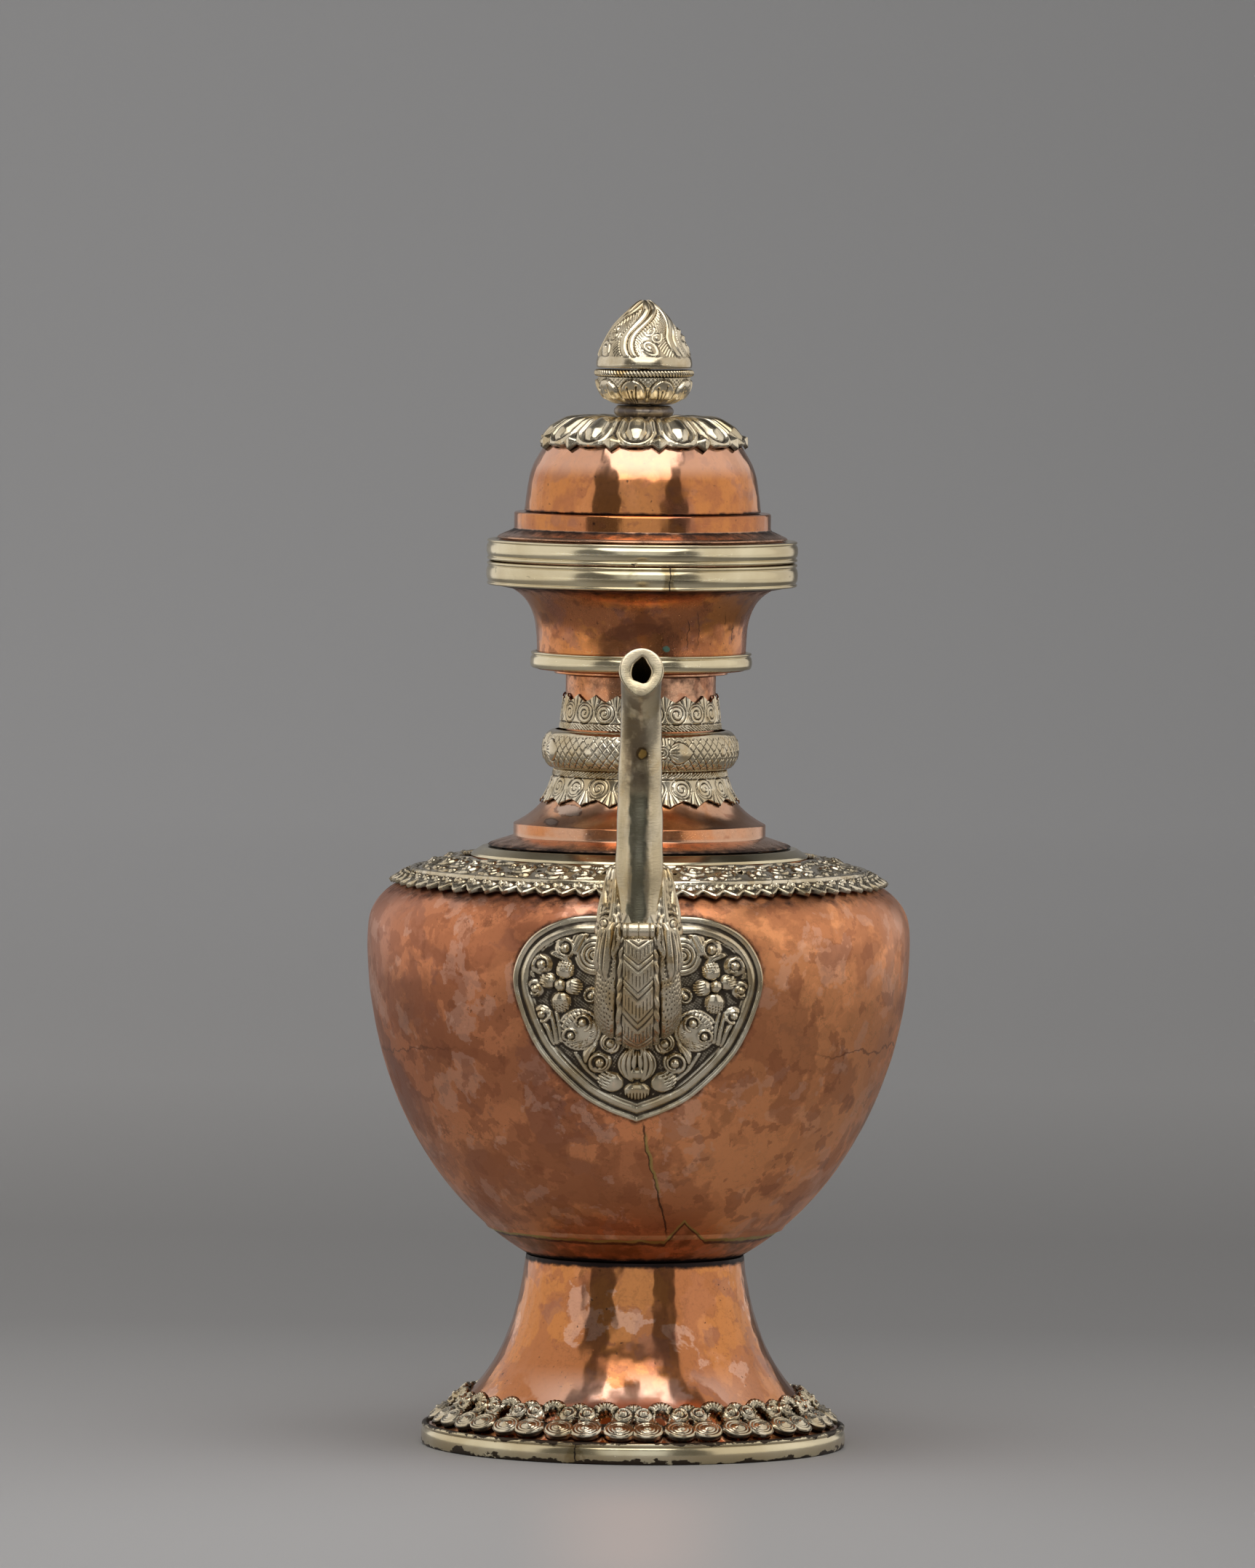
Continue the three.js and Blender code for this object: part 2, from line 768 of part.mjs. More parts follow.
// A cap of swelling petals on the crown, with a small leaf tip between each two
function lotusCap() {
  const hole = finial.stemRadius + seam;
  const crown = domePath.at(-1)[0];
  const tips = pathBetween(domePath, lotus.radius + lotus.tipReach, crown);
  const notches = pathBetween(domePath, lotus.radius, crown);
  const swellShares = [0, 0.6, 1, 0.6];
  const rows = [seam, seam + trimWall].map((distance, layer) => {
    const [tip, notch] = [tips, notches].map((path) => offsetPath(path, -distance));
    const rim = tip.map(([r, z], n) => (i) => {
      const [edgeRadius, edgeHeight] = n || i % 2 === 0 ? [r, z] : notch[0];
      const swell = n === tip.length - 1 ? 0 : layer * lotus.relief * swellShares[i % 4];
      return [edgeRadius + swell / 2, edgeHeight + (n ? swell : 0)];
    });
    return [...rim, () => [hole, domeTop + distance]];
  });
  return wrappedGrid(
    [...rows[0], ...rows[1].reverse()].map((place) => loopRound(4 * lotus.petals, place)),
  );
}

const capTop = domeTop + seam + trimWall;
const collarBottom = capTop + seam;
const collarTop = collarBottom + finial.collarHeight;
const calyxBottom = collarTop + seam;
const calyxTop = calyxBottom + finial.calyxHeight;
const finialBandTop = calyxTop + seam + finial.bandHeight;
const budBottom = finialBandTop + seam;
const stemHole = finial.stemRadius + seam;

function finialCollar() {
  const { collarRadius, collarHeight, sides } = finial;
  const round = collarHeight / 4;
  return revolve(
    [
      [stemHole, collarBottom],
      [collarRadius - round, collarBottom],
      [collarRadius, collarBottom + round],
      [collarRadius, collarTop - round],
      [collarRadius - round, collarTop],
      [stemHole, collarTop],
    ],
    sides,
  );
}

function finialCalyx() {
  const angles = [0, 25, 50, 72, 90];
  const bowl = angles.map((angle) => [
    mix(finial.neckRadius, finial.radius, Math.sin(angle * degree)),
    calyxTop - finial.calyxHeight * Math.cos(angle * degree),
  ]);
  return revolve([[stemHole, calyxBottom], ...bowl, [stemHole, calyxTop]], finial.sides);
}

function finialBand() {
  const { radius, bandProud, bandHeight, sides } = finial;
  const bottom = calyxTop + seam;
  return revolve(
    [
      [stemHole, bottom],
      [radius, bottom],
      [radius + bandProud, bottom + bandHeight / 2],
      [radius, finialBandTop],
      [stemHole, finialBandTop],
    ],
    sides,
  );
}

// The bud: a swelling cone with a blunt point, hollow where it takes the stem
function finialBud() {
  const heightShares = [0, 0.25, 0.47, 0.6, 0.78, 0.9];
  const radiusShares = [0.99, 0.93, 0.78, 0.66, 0.44, 0.25];
  const side = heightShares.map((t, n) => [
    finial.radius * radiusShares[n],
    budBottom + finial.budHeight * t,
  ]);
  const socket = collarTop + finial.stemReach + seam;
  return revolve(
    [
      [0, socket],
      [stemHole, socket],
      [stemHole, budBottom],
      ...side,
      [0, budBottom + finial.budHeight],
    ],
    finial.sides,
  );
}

const washerTop = domeTop - copperWall - seam;

function finialStem() {
  const bottom = washerTop - finial.washerHeight - seam;
  const head = finial.stemRadius * 1.7;
  return revolve(
    [
      [0, bottom - finial.washerHeight],
      [head, bottom - finial.washerHeight],
      [head, bottom],
      [finial.stemRadius, bottom],
      [finial.stemRadius, collarTop + finial.stemReach],
      [0, collarTop + finial.stemReach],
    ],
    finial.sides / 2,
  );
}

function stemWasher() {
  return revolve(
    [
      [stemHole, washerTop - finial.washerHeight],
      [finial.washerRadius, washerTop - finial.washerHeight],
      [finial.washerRadius, washerTop],
      [stemHole, washerTop],
    ],
    finial.sides / 2,
  );
}

// The heart-shaped plate that the spout stands on, with a moulded edge

const heartShares = [
  // across and up, as shares of the half width and of the height above or below the widest part
  [0, 0.94],
  [0.3, 1],
  [0.6, 0.93],
  [0.87, 0.62],
  [1, 0.04],
  [0.96, -0.22],
  [0.79, -0.53],
  [0.48, -0.8],
  [0.25, -0.92],
  [0, -1],
];

// The heart's outline, inset by a width, centred on its widest part
function heartOutline(inset) {
  const right = heartShares.map(([x, y]) => {
    const up = y > 0 ? plate.top : plate.bottom;
    return new THREE.Vector2(x * (plate.halfWidth - inset), y * (up - inset));
  });
  const left = right.slice(1, -1).map((p) => new THREE.Vector2(-p.x, p.y));
  return new THREE.Shape([...right, ...left.reverse()]);
}

// A solid skin over the body between two distances from its surface
function bodySkin(near, far) {
  return bodyBlock(far).subtract(bodyBlock(near));
}

function bodyBlock(distance) {
  const path = offsetPath(bodyPath, -distance);
  return solid(revolve([[0, path[0][1]], ...path, [0, path.at(-1)[1]]], belly.sides));
}

function spoutPlate() {
  const prism = (inset) => {
    const options = { depth: belly.radius + overrun, bevelEnabled: false, steps: 1 };
    const geometry = new THREE.ExtrudeGeometry(heartOutline(inset), options);
    return solid(geometry.rotateX(Math.PI / 2).translate(0, 0, widest - plate.drop));
  };
  const sheet = bodySkin(seam, seam + plate.wall).intersect(prism(0));
  const edge = bodySkin(seam, seam + plate.wall + plate.mouldingHeight);
  const moulding = edge.intersect(prism(0)).subtract(prism(plate.mouldingWidth));
  return sheet.add(moulding).subtract(solid(boreCutter()));
}

// The spout. Stations run from inside the belly through the creature's throat and up the tube.

const tubeReach = belly.radius + spout.tubeStandoff;
const tipReach = tubeReach + spout.tipLead;
const tipHeight = widest + spout.tipHeight;
const mouthHeight = widest + spout.mouthHeight;
const throatHeight = widest - creature.throatDrop;

function boreRing(station) {
  const bored = { ...station, halfWidth: spout.boreRadius, halfDepth: spout.boreRadius };
  return ovalRing(-1, bored, spout.sides);
}

const throatShares = [
  // of the way from the belly out to the tube, and from the throat's axis up to the mouth
  { out: -0.62, up: 0.18, angle: -12, width: 0.9, depth: 1.1 },
  { out: 0.3, up: 0.0, angle: -6, width: 1.0, depth: 1.08 },
  { out: 0.66, up: 0.1, angle: 28, width: 1.0, depth: 1.0 },
  { out: 0.86, up: 0.32, angle: 58, width: 0.96, depth: 0.88 },
  { out: 0.96, up: 0.66, angle: 80, width: 0.88, depth: 0.78 },
  { out: 1, up: 1, angle: 87, width: 0.78, depth: 0.72 },
];
const throatStations = throatShares.map(({ out, up, angle, width, depth }) => ({
  reach: mix(belly.radius, tubeReach, out),
  height: mix(throatHeight, mouthHeight, up),
  angle,
  halfWidth: creature.halfWidth * width,
  halfDepth: creature.halfDepth * depth,
}));

const tubeShares = [
  // of the height from the mouth to the tip, and of the reach from the tube out to the tip
  { up: 0, out: 0, angle: 87, size: 1 },
  { up: 0.22, out: 0.04, angle: 87, size: 0.92 },
  { up: 0.45, out: 0.09, angle: 86, size: 0.6 },
  { up: 0.66, out: 0.18, angle: 82, size: 0.28 },
  { up: 0.8, out: 0.32, angle: 72, size: 0.05 },
  { up: 0.9, out: 0.55, angle: 58, size: 0 },
  { up: 0.965, out: 0.8, angle: 46, size: 0.05 },
];
const tubeStations = tubeShares.map(({ up, out, angle, size }) => ({
  reach: mix(tubeReach, tipReach, out),
  height: mix(mouthHeight, tipHeight, up),
  angle,
  halfWidth: mix(spout.tubeTopRadius, spout.tubeRadius, size),
  halfDepth: mix(spout.tubeTopRadius, spout.tubeRadius, size),
}));

const tipStation = {
  reach: tipReach,
  height: tipHeight,
  angle: spout.cutAngle,
  halfWidth: spout.tipRadius,
  halfDepth: spout.tipHalfHeight / Math.cos(spout.cutAngle * degree),
};

function boreCutter() {
  const inside = { ...throatStations[0], reach: belly.radius - overrun - copperWall };
  return cappedGrid([inside, ...throatStations.slice(1)].map(boreRing));
}

function grown(station, amount) {
  return {
    ...station,
    halfWidth: station.halfWidth + amount,
    halfDepth: station.halfDepth + amount,
  };
}

// The whole head: a throat that grows from the plate, a chin, and an upper jaw that holds the tube
function creatureHead() {
  const throat = solid(cappedGrid(throatStations.map((s) => ovalRing(-1, s, creature.sides))));
  const jaw = solid(cappedGrid(jawStations().map((s) => ovalRing(-1, s, creature.sides))));
  const last = throatStations.at(-1);
  const strip = solid(cappedGrid(throatStations.slice(1).map(throatStripRing)));
  const chin = new THREE.SphereGeometry(creature.chinRadius, 8, 6);
  const chinReach = last.reach + last.halfDepth - creature.chinRadius / 3;
  chin.scale(1.3, 1, 1).translate(0, -chinReach, mouthHeight - creature.chinRadius * 0.8);
  let head = throat.add(jaw).add(strip).add(solid(chin));
  for (const side of [-1, 1]) {
    const eye = new THREE.SphereGeometry(creature.eyeRadius, 7, 5);
    const across = side * (creature.halfWidth * 0.72);
    eye.translate(across, -(tubeReach - creature.halfDepth * 0.1), mouthHeight + creature.eyeRadius);
    head = head.add(solid(eye));
  }
  const tube = [tubeStations[0], ...tubeStations.slice(1, 4)].map((s) => grown(s, seam));
  const seat = solid(cappedGrid(tube.map((s) => ovalRing(-1, s, spout.sides))));
  return head
    .subtract(seat)
    .subtract(solid(boreCutter()))
    .subtract(bodyBlock(seam + plate.wall + seam));
}

// The head is cast in two, brazed together across the channel: the throat on the plate and the jaws above it
function creatureParts() {
  const head = creatureHead();
  const level = mouthHeight - creature.jawSeam;
  const jaws = head.trimByPlane([0, 0, 1], level + seam / 2);
  const throat = head.trimByPlane([0, 0, -1], seam / 2 - level);
  return { throat, jaws };
}

// The upper jaw stands behind and beside the tube, so its stations lie nearer the vessel
function jawStations() {
  const jawShares = [
    // from the mouth up to the points, back from the tube, and of the head's half width and depth
    { up: -0.6, back: 0.05, width: 0.76, depth: 0.62 },
    { up: 0, back: 0.2, width: 0.84, depth: 0.78 },
    { up: 0.55, back: 0.34, width: 0.74, depth: 0.7 },
    { up: 1, back: 0.56, width: 0.6, depth: 0.5 },
  ];
  return jawShares.map(({ up, back, width, depth }) => ({
    reach: tubeReach - back * creature.halfDepth,
    height: mix(mouthHeight, widest + creature.jawHeight, up),
    angle: 87,
    halfWidth: creature.halfWidth * width,
    halfDepth: creature.halfDepth * depth,
  }));
}

// The belly strip under the throat, proud of it
function throatStripRing(station) {
  const { reach, height, angle, halfDepth } = station;
  const drop = halfDepth - creature.throatProud;
  return ovalRing(
    -1,
    {
      reach: reach + drop * Math.sin(angle * degree),
      height: height - drop * Math.cos(angle * degree),
      angle,
      halfWidth: creature.throatWidth / 2,
      halfDepth: 2 * creature.throatProud,
    },
    8,
  );
}

function spoutTube() {
  const [first] = tubeStations;
  const lifted = { ...first, height: first.height + seam };
  const keel = (a) => 1 + (spout.lipKeel / spout.tipRadius) * Math.max(0, -Math.cos(a)) ** 6;
  const outer = [lifted, ...tubeStations.slice(1)].map((s) => ovalRing(-1, s, spout.sides));
  outer.push(ovalRing(-1, tipStation, spout.sides, keel));
  const inner = [lifted, ...tubeStations.slice(1)].map(boreRing);
  const mouth = { ...tipStation, halfWidth: spout.boreRadius * 0.8, halfDepth: spout.boreRadius * 1.1 };
  inner.push(ovalRing(-1, mouth, spout.sides));
  return wrappedGrid([...outer, ...inner.reverse()]);
}

// The handle: a loop from the back of the cup down to the belly

const handleTop = mix(bandBottom + cup.bandHeight, rimBottom, 0.4);
const handleRoot = widest - creature.throatDrop / 2;
const handleShares = [
  // of the reach from the belly to the loop's furthest line, and of the height from root to top
  { out: 0.0, up: 0, angle: 28, swell: 1 },
  { out: 0.42, up: 0.1, angle: 42, swell: 0.5 },
  { out: 0.78, up: 0.28, angle: 62, swell: 0.1 },
  { out: 0.98, up: 0.5, angle: 82, swell: 0 },
  { out: 0.98, up: 0.72, angle: 100, swell: 0 },
  { out: 0.72, up: 0.92, angle: 134, swell: 0 },
  { out: 0.2, up: 1.02, angle: 164, swell: 0 },
  { out: -0.45, up: 1.04, angle: 182, swell: 0.1 },
  { out: -1.12, up: 1, angle: 188, swell: 0.5 },
];
const handleStations = handleShares.map(({ out, up, angle, swell }) => ({
  reach: belly.radius + out * (handle.standoff - handle.halfDepth),
  height: mix(handleRoot, handleTop, up),
  angle,
  halfWidth: handle.halfWidth * mix(1, handle.rootShare, swell),
  halfDepth: handle.halfDepth * mix(1, handle.rootShare, swell),
}));

function handleGrip() {
  const ends = [
    { ...handleStations[0], reach: belly.radius - overrun },
    { ...handleStations.at(-1), reach: cup.floorRadius - overrun },
  ];
  const stations = [ends[0], ...handleStations, ends[1]];
  const path = offsetPath(cupPath, -seam);
  const cupBlock = solid(revolve([[0, path[0][1]], ...path, [0, path.at(-1)[1]]], cup.sides));
  return solid(cappedGrid(stations.map((s) => ovalRing(1, s, handle.sides))))
    .subtract(bodyBlock(seam))
    .subtract(cupBlock);
}

// Assembly

const ewer = new THREE.Group();
const vessel = new THREE.Group();
const lidGroup = new THREE.Group();
ewer.add(vessel, lidGroup);

function place(group, name, finish, shape) {
  const geometry = shape.isBufferGeometry ? shape : geometryOf(shape);
  const mesh = new THREE.Mesh(geometry, finishes[finish]);
  mesh.name = name;
  group.add(mesh);
}

place(vessel, "foot_shell", "copper", footShell());
place(
  vessel,
  "foot_rim_band",
  "brass",
  revolve(stripOutline(foot.rimRadius, stripWall, 0, foot.rimHeight, foot.rimBead, true), foot.sides),
);
place(vessel, "foot_scroll_border", "silver", footScrollBorder());
place(vessel, "body_base", "copper", bodyBase());
place(vessel, "bowl_shell", "copper", bowlShell());
place(vessel, "shoulder_shell", "copper", shoulderShell());
place(vessel, "shoulder_scroll_border", "silver", shoulderScrollBorder());
place(vessel, "neck_base_ring", "brass", neckBaseRing());
place(vessel, "neck_base", "copper", neckBaseShell());
place(vessel, "lower_lappet_collar", "silver", lowerCollar());
place(vessel, "neck_knop", "silver", neckKnop());
place(vessel, "upper_lappet_collar", "silver", upperCollar());
place(vessel, "neck_tube", "copper", neckTubeShell());
place(vessel, "neck_flange", "copper", neckFlange());
place(vessel, "cup_shell", "copper", cupShell());
place(vessel, "cup_base_band", "brass", cupBaseBand());
place(vessel, "cup_rim_band", "brass", cupRimBand());
place(vessel, "spout_plate", "silver", spoutPlate());
place(vessel, "spout_creature_throat", "brass", creatureParts().throat);
place(vessel, "spout_creature_head", "brass", creatureParts().jaws);
place(vessel, "spout_tube", "brass", spoutTube());
place(vessel, "handle_grip", "brass", handleGrip());

place(lidGroup, "lid_step", "copper", lidStepShell());
place(lidGroup, "lid_dome", "copper", lidDome());
place(lidGroup, "lid_rim_band", "brass", lidRimBand());
place(lidGroup, "lid_bezel", "copper", lidBezel());
place(lidGroup, "lotus_cap", "silver", lotusCap());
place(lidGroup, "finial_collar", "iron", finialCollar());
place(lidGroup, "finial_calyx", "silver", finialCalyx());
place(lidGroup, "finial_band", "brass", finialBand());
place(lidGroup, "finial_bud", "silver", finialBud());
place(lidGroup, "finial_stem", "iron", finialStem());
place(lidGroup, "stem_washer", "brass", stemWasher());

export default ewer;
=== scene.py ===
# The looks of a Tibetan copper ewer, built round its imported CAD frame.
# Sizes are millimetres and angles degrees; a mesh turns to metres when its piece is made.
import math

import bmesh
import bpy
import numpy as np
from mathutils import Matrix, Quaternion, Vector


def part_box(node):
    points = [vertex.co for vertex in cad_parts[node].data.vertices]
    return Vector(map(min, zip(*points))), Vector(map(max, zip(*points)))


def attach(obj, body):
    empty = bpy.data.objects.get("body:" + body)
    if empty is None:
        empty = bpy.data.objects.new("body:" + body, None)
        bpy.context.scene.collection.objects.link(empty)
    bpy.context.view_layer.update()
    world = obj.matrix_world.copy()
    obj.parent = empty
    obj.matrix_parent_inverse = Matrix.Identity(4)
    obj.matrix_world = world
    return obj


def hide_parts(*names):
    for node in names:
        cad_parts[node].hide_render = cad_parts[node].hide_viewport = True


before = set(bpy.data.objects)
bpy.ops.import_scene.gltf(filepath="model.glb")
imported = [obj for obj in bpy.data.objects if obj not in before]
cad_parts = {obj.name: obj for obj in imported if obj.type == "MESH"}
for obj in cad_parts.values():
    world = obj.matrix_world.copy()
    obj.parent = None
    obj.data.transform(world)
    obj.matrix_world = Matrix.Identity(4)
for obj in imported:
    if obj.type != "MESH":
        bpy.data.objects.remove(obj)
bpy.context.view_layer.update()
scene = bpy.context.scene
mm = 0.001
fullTurn = 2 * math.pi
print("frame loaded")


# Reading the frame

def levels(node):
    # lowest and highest level of a node, and how far it reaches from the axis
    low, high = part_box(node)
    return low.z / mm, high.z / mm, max(-low.x, high.x) / mm


# Profiles

def mix(a, b, share):
    return a + (b - a) * share


def flare(t, share):
    # what is left of a flare's sweep at the share t of its height; share is what is left halfway
    falling = share / (1 - share)
    return (falling ** (2 * t) - falling**2) / (1 - falling**2)


def rounded(outline, radius, closed=True):
    # the outline with its corners eased to curves
    points, steps = [], 4
    for n, corner in enumerate(outline):
        here = Vector(corner)
        if not closed and n in (0, len(outline) - 1):
            points.append(tuple(corner))
            continue
        toBefore = Vector(outline[n - 1]) - here
        toAfter = Vector(outline[(n + 1) % len(outline)]) - here
        angle = toBefore.angle(toAfter, math.pi)
        if angle > math.radians(168):
            points.append(tuple(corner))
            continue
        cut = min(radius / math.tan(angle / 2), 0.45 * toBefore.length, 0.45 * toAfter.length)
        start = here + toBefore.normalized() * cut
        end = here + toAfter.normalized() * cut
        for step in range(steps + 1):
            t = step / steps
            points.append(tuple(start * (1 - t) ** 2 + here * 2 * t * (1 - t) + end * t**2))
    return points


def offset(path, distance):
    # an open path of (radius, level) moved outwards by a distance
    path = np.asarray(path, float)
    along = np.gradient(path, axis=0)
    along /= np.linalg.norm(along, axis=1, keepdims=True)
    return path + distance * np.column_stack([along[:, 1], -along[:, 0]])


def evenly(path, step):
    # the same path with points at an even spacing
    path = np.asarray(path, float)
    lengths = np.concatenate([[0], np.cumsum(np.linalg.norm(np.diff(path, axis=0), axis=1))])
    at = np.linspace(0, lengths[-1], max(2, round(lengths[-1] / step) + 1))
    return np.column_stack([np.interp(at, lengths, path[:, k]) for k in (0, 1)])


def smoothPath(points, count):
    # a smooth curve through a few points
    knots = np.asarray(points, float)
    ends = np.vstack([2 * knots[0] - knots[1], knots, 2 * knots[-1] - knots[-2]])
    path = []
    for n in range(len(knots) - 1):
        a, b, c, d = ends[n : n + 4]
        square, cube = 2 * a - 5 * b + 4 * c - d, 3 * b - a - 3 * c + d
        for step in range(count):
            t = step / count
            path.append(0.5 * (2 * b + (c - a) * t + square * t**2 + cube * t**3))
    return np.vstack([path, knots[-1:]])


# Meshes

def meshOf(bm, name, sharp=None):
    bmesh.ops.scale(bm, vec=(mm, mm, mm), verts=bm.verts)
    mesh = bpy.data.meshes.new(name)
    bm.to_mesh(mesh)
    bm.free()
    mesh.shade_smooth()
    if sharp:
        mesh.set_sharp_from_angle(angle=math.radians(sharp))
    return mesh


def spun(outline, steps):
    # a closed outline of (radius, level) points turned about the axis, first a sector and then its copies
    bm, sectors = bmesh.new(), 30
    verts = [bm.verts.new((r, 0, z)) for r, z in outline]
    edges = [bm.edges.new(pair) for pair in zip(verts, [*verts[1:], verts[0]])]
    axis = {"axis": (0, 0, 1), "cent": (0, 0, 0)}
    bmesh.ops.spin(bm, geom=verts + edges, angle=fullTurn / sectors, steps=steps // sectors, **axis)
    sector = bm.verts[:] + bm.edges[:] + bm.faces[:]
    rest = fullTurn * (1 - 1 / sectors)
    bmesh.ops.spin(bm, geom=sector, angle=rest, steps=sectors - 1, use_duplicate=True, **axis)
    bmesh.ops.remove_doubles(bm, verts=bm.verts, dist=1e-3)
    bmesh.ops.recalc_face_normals(bm, faces=bm.faces)
    return bm


def coordinates(mesh):
    places = np.empty(len(mesh.vertices) * 3)
    mesh.vertices.foreach_get("co", places)
    return places.reshape(-1, 3) / mm


def moveTo(mesh, places):
    mesh.vertices.foreach_set("co", (places * mm).ravel())
    mesh.update()


# Chased relief: each motif is a height in millimetres over a flat pattern, x across and y along it

def boss(x, y, centre, size, height):
    dx, dy = (x - centre[0]) / size[0], (y - centre[1]) / size[1]
    return height * np.sqrt(np.clip(1 - dx**2 - dy**2, 0, 1))


def ridge(distance, halfWidth, height):
    return height * np.sqrt(np.clip(1 - (distance / halfWidth) ** 2, 0, 1))


def groove(distance, halfWidth):
    # 1 in the middle of a cut line, 0 beside it
    return np.clip(1 - np.abs(distance) / halfWidth, 0, 1)


def scroll(x, y, centre, radius, hand, start, height, turns):
    # a disc with a spiral ridge that winds in to a bead
    dx, dy = x - centre[0], y - centre[1]
    reach = np.hypot(dx, dy) / radius
    phase = reach * turns - hand * (np.arctan2(dy, dx) - math.radians(start)) / fullTurn
    winding = 0.5 + 0.5 * np.cos(fullTurn * phase)
    disc = np.clip(1 - reach**6, 0, 1) ** 0.5
    eye = boss(dx, dy, (0, 0), (0.36 * radius, 0.36 * radius), 0.75 * height)
    return np.maximum(height * disc * (0.45 + 0.4 * winding), np.where(reach < 0.36, 0.45 * height + eye, 0))


def curl(x, y, centre, size, hand, start, height):
    # a crescent that winds once round a large bead
    dx, dy = x - centre[0], y - centre[1]
    reach = np.hypot(dx, dy) / size
    turned = (hand * np.arctan2(dy, dx) / fullTurn - start / 360) % 1
    crescent = ridge(reach - mix(0.88, 0.5, turned), mix(0.2, 0.14, turned), height * 0.85)
    crescent = crescent * np.clip(turned * 8, 0, 1)
    disc = 0.5 * height * np.sqrt(np.clip(1 - (reach / 0.98) ** 4, 0, 1))
    return np.maximum.reduce([crescent, disc, boss(dx, dy, (0, 0), (0.46 * size, 0.46 * size), 1.2 * height)])


def petal(x, y, centre, out, size, height, lines=3.3):
    # a round petal that points out at an angle, with fine cuts over its outer half
    way = (math.cos(math.radians(out)), math.sin(math.radians(out)))
    dx, dy = x - centre[0], y - centre[1]
    along, across = dx * way[0] + dy * way[1], dy * way[0] - dx * way[1]
    shape = height * np.sqrt(np.clip(1 - (along / size[0]) ** 2 - (across / size[1]) ** 2, 0, 1))
    cut = np.abs(np.cos(across * lines)) ** 6 * np.clip(along / size[0] * 2 + 0.5, 0, 1)
    return np.clip(shape - 0.34 * height * cut * (shape > 0), 0, None)


def roundel(x, y, centre, size, squash, height):
    # a flat rim, a ring and a bead
    reach = np.hypot(x - centre[0], (y - centre[1]) / squash) / size
    shape = np.where(reach < 1, 0.62 * np.clip((1 - reach) * 9, 0, 1) ** 0.5, 0)
    shape += 0.25 * np.clip(1 - reach, 0, 1) * (reach < 1)
    shape -= 0.3 * groove(reach - 0.72, 0.08) + 0.25 * groove(reach - 0.50, 0.08)
    bead = np.sqrt(np.clip(1 - (reach / 0.32) ** 2, 0, 1)) * 1.15
    return height * np.clip(np.maximum(shape, bead), 0, None)


def leaf(x, y, base, tip, halfWidth, height, bend=0.0, cuts=0):
    # a pointed leaf whose middle line bends to one side; cuts are fine lines along it
    base, way = np.array(base, float), np.subtract(tip, base).astype(float)
    length = math.hypot(*way)
    way /= length
    along = ((x - base[0]) * way[0] + (y - base[1]) * way[1]) / length
    inside = np.clip(along, 0, 1)
    across = (y - base[1]) * way[0] - (x - base[0]) * way[1] - bend * 4 * inside * (1 - inside)
    half = halfWidth * np.sin(math.pi * inside**0.85) ** 0.75
    share = across / np.maximum(half, 1e-3)
    shape = height * np.sqrt(np.clip(1 - share**2, 0, 1)) * np.clip(1.5 * half / halfWidth, 0, 1)
    if cuts:
        lines = np.abs(np.cos(share * cuts * math.pi / 2)) ** 6
        shape -= 0.3 * height * lines * np.clip(4 * inside * (1 - inside), 0, 1)
    return np.where((along > 0) & (along < 1), np.clip(shape, 0, None), 0)


def stroke(x, y, points, widths, height):
    # a rounded ridge that follows a smooth line of points and tapers as it goes
    path = smoothPath(points, 5)
    halves = np.interp(np.linspace(0, 1, len(path)), np.linspace(0, 1, len(widths)), widths)
    best = np.zeros_like(x)
    for start, end, halfStart, halfEnd in zip(path, path[1:], halves, halves[1:]):
        way = end - start
        t = np.clip(((x - start[0]) * way[0] + (y - start[1]) * way[1]) / max(way @ way, 1e-9), 0, 1)
        distance = np.hypot(x - start[0] - t * way[0], y - start[1] - t * way[1])
        half = mix(halfStart, halfEnd, t)
        best = np.maximum(best, np.sqrt(np.clip(1 - (distance / half) ** 2, 0, 1)) * np.minimum(half, 1))
    return height * best


def softened(grid, cells):
    # the mean over a square of cells each way, on a grid whose last column repeats the first
    mean = grid[:, :-1]
    for axis in (0, 1):
        parts = []
        for shift in range(-cells, cells + 1):
            moved = np.roll(mean, shift, axis)
            if axis == 0 and shift:
                rows = slice(0, shift) if shift > 0 else slice(shift, None)
                moved[rows] = mean[0 if shift > 0 else -1]
            parts.append(moved)
        mean = np.mean(parts, axis=0)
    return np.hstack([mean, mean[:, :1]])


def slopes(grid):
    # how the places change from row to row and from column to column
    ring = grid[:, :-1]
    across = (np.roll(ring, -1, 1) - np.roll(ring, 1, 1)) / 2
    return np.gradient(grid, axis=0), np.concatenate([across, across[:, :1]], axis=1)


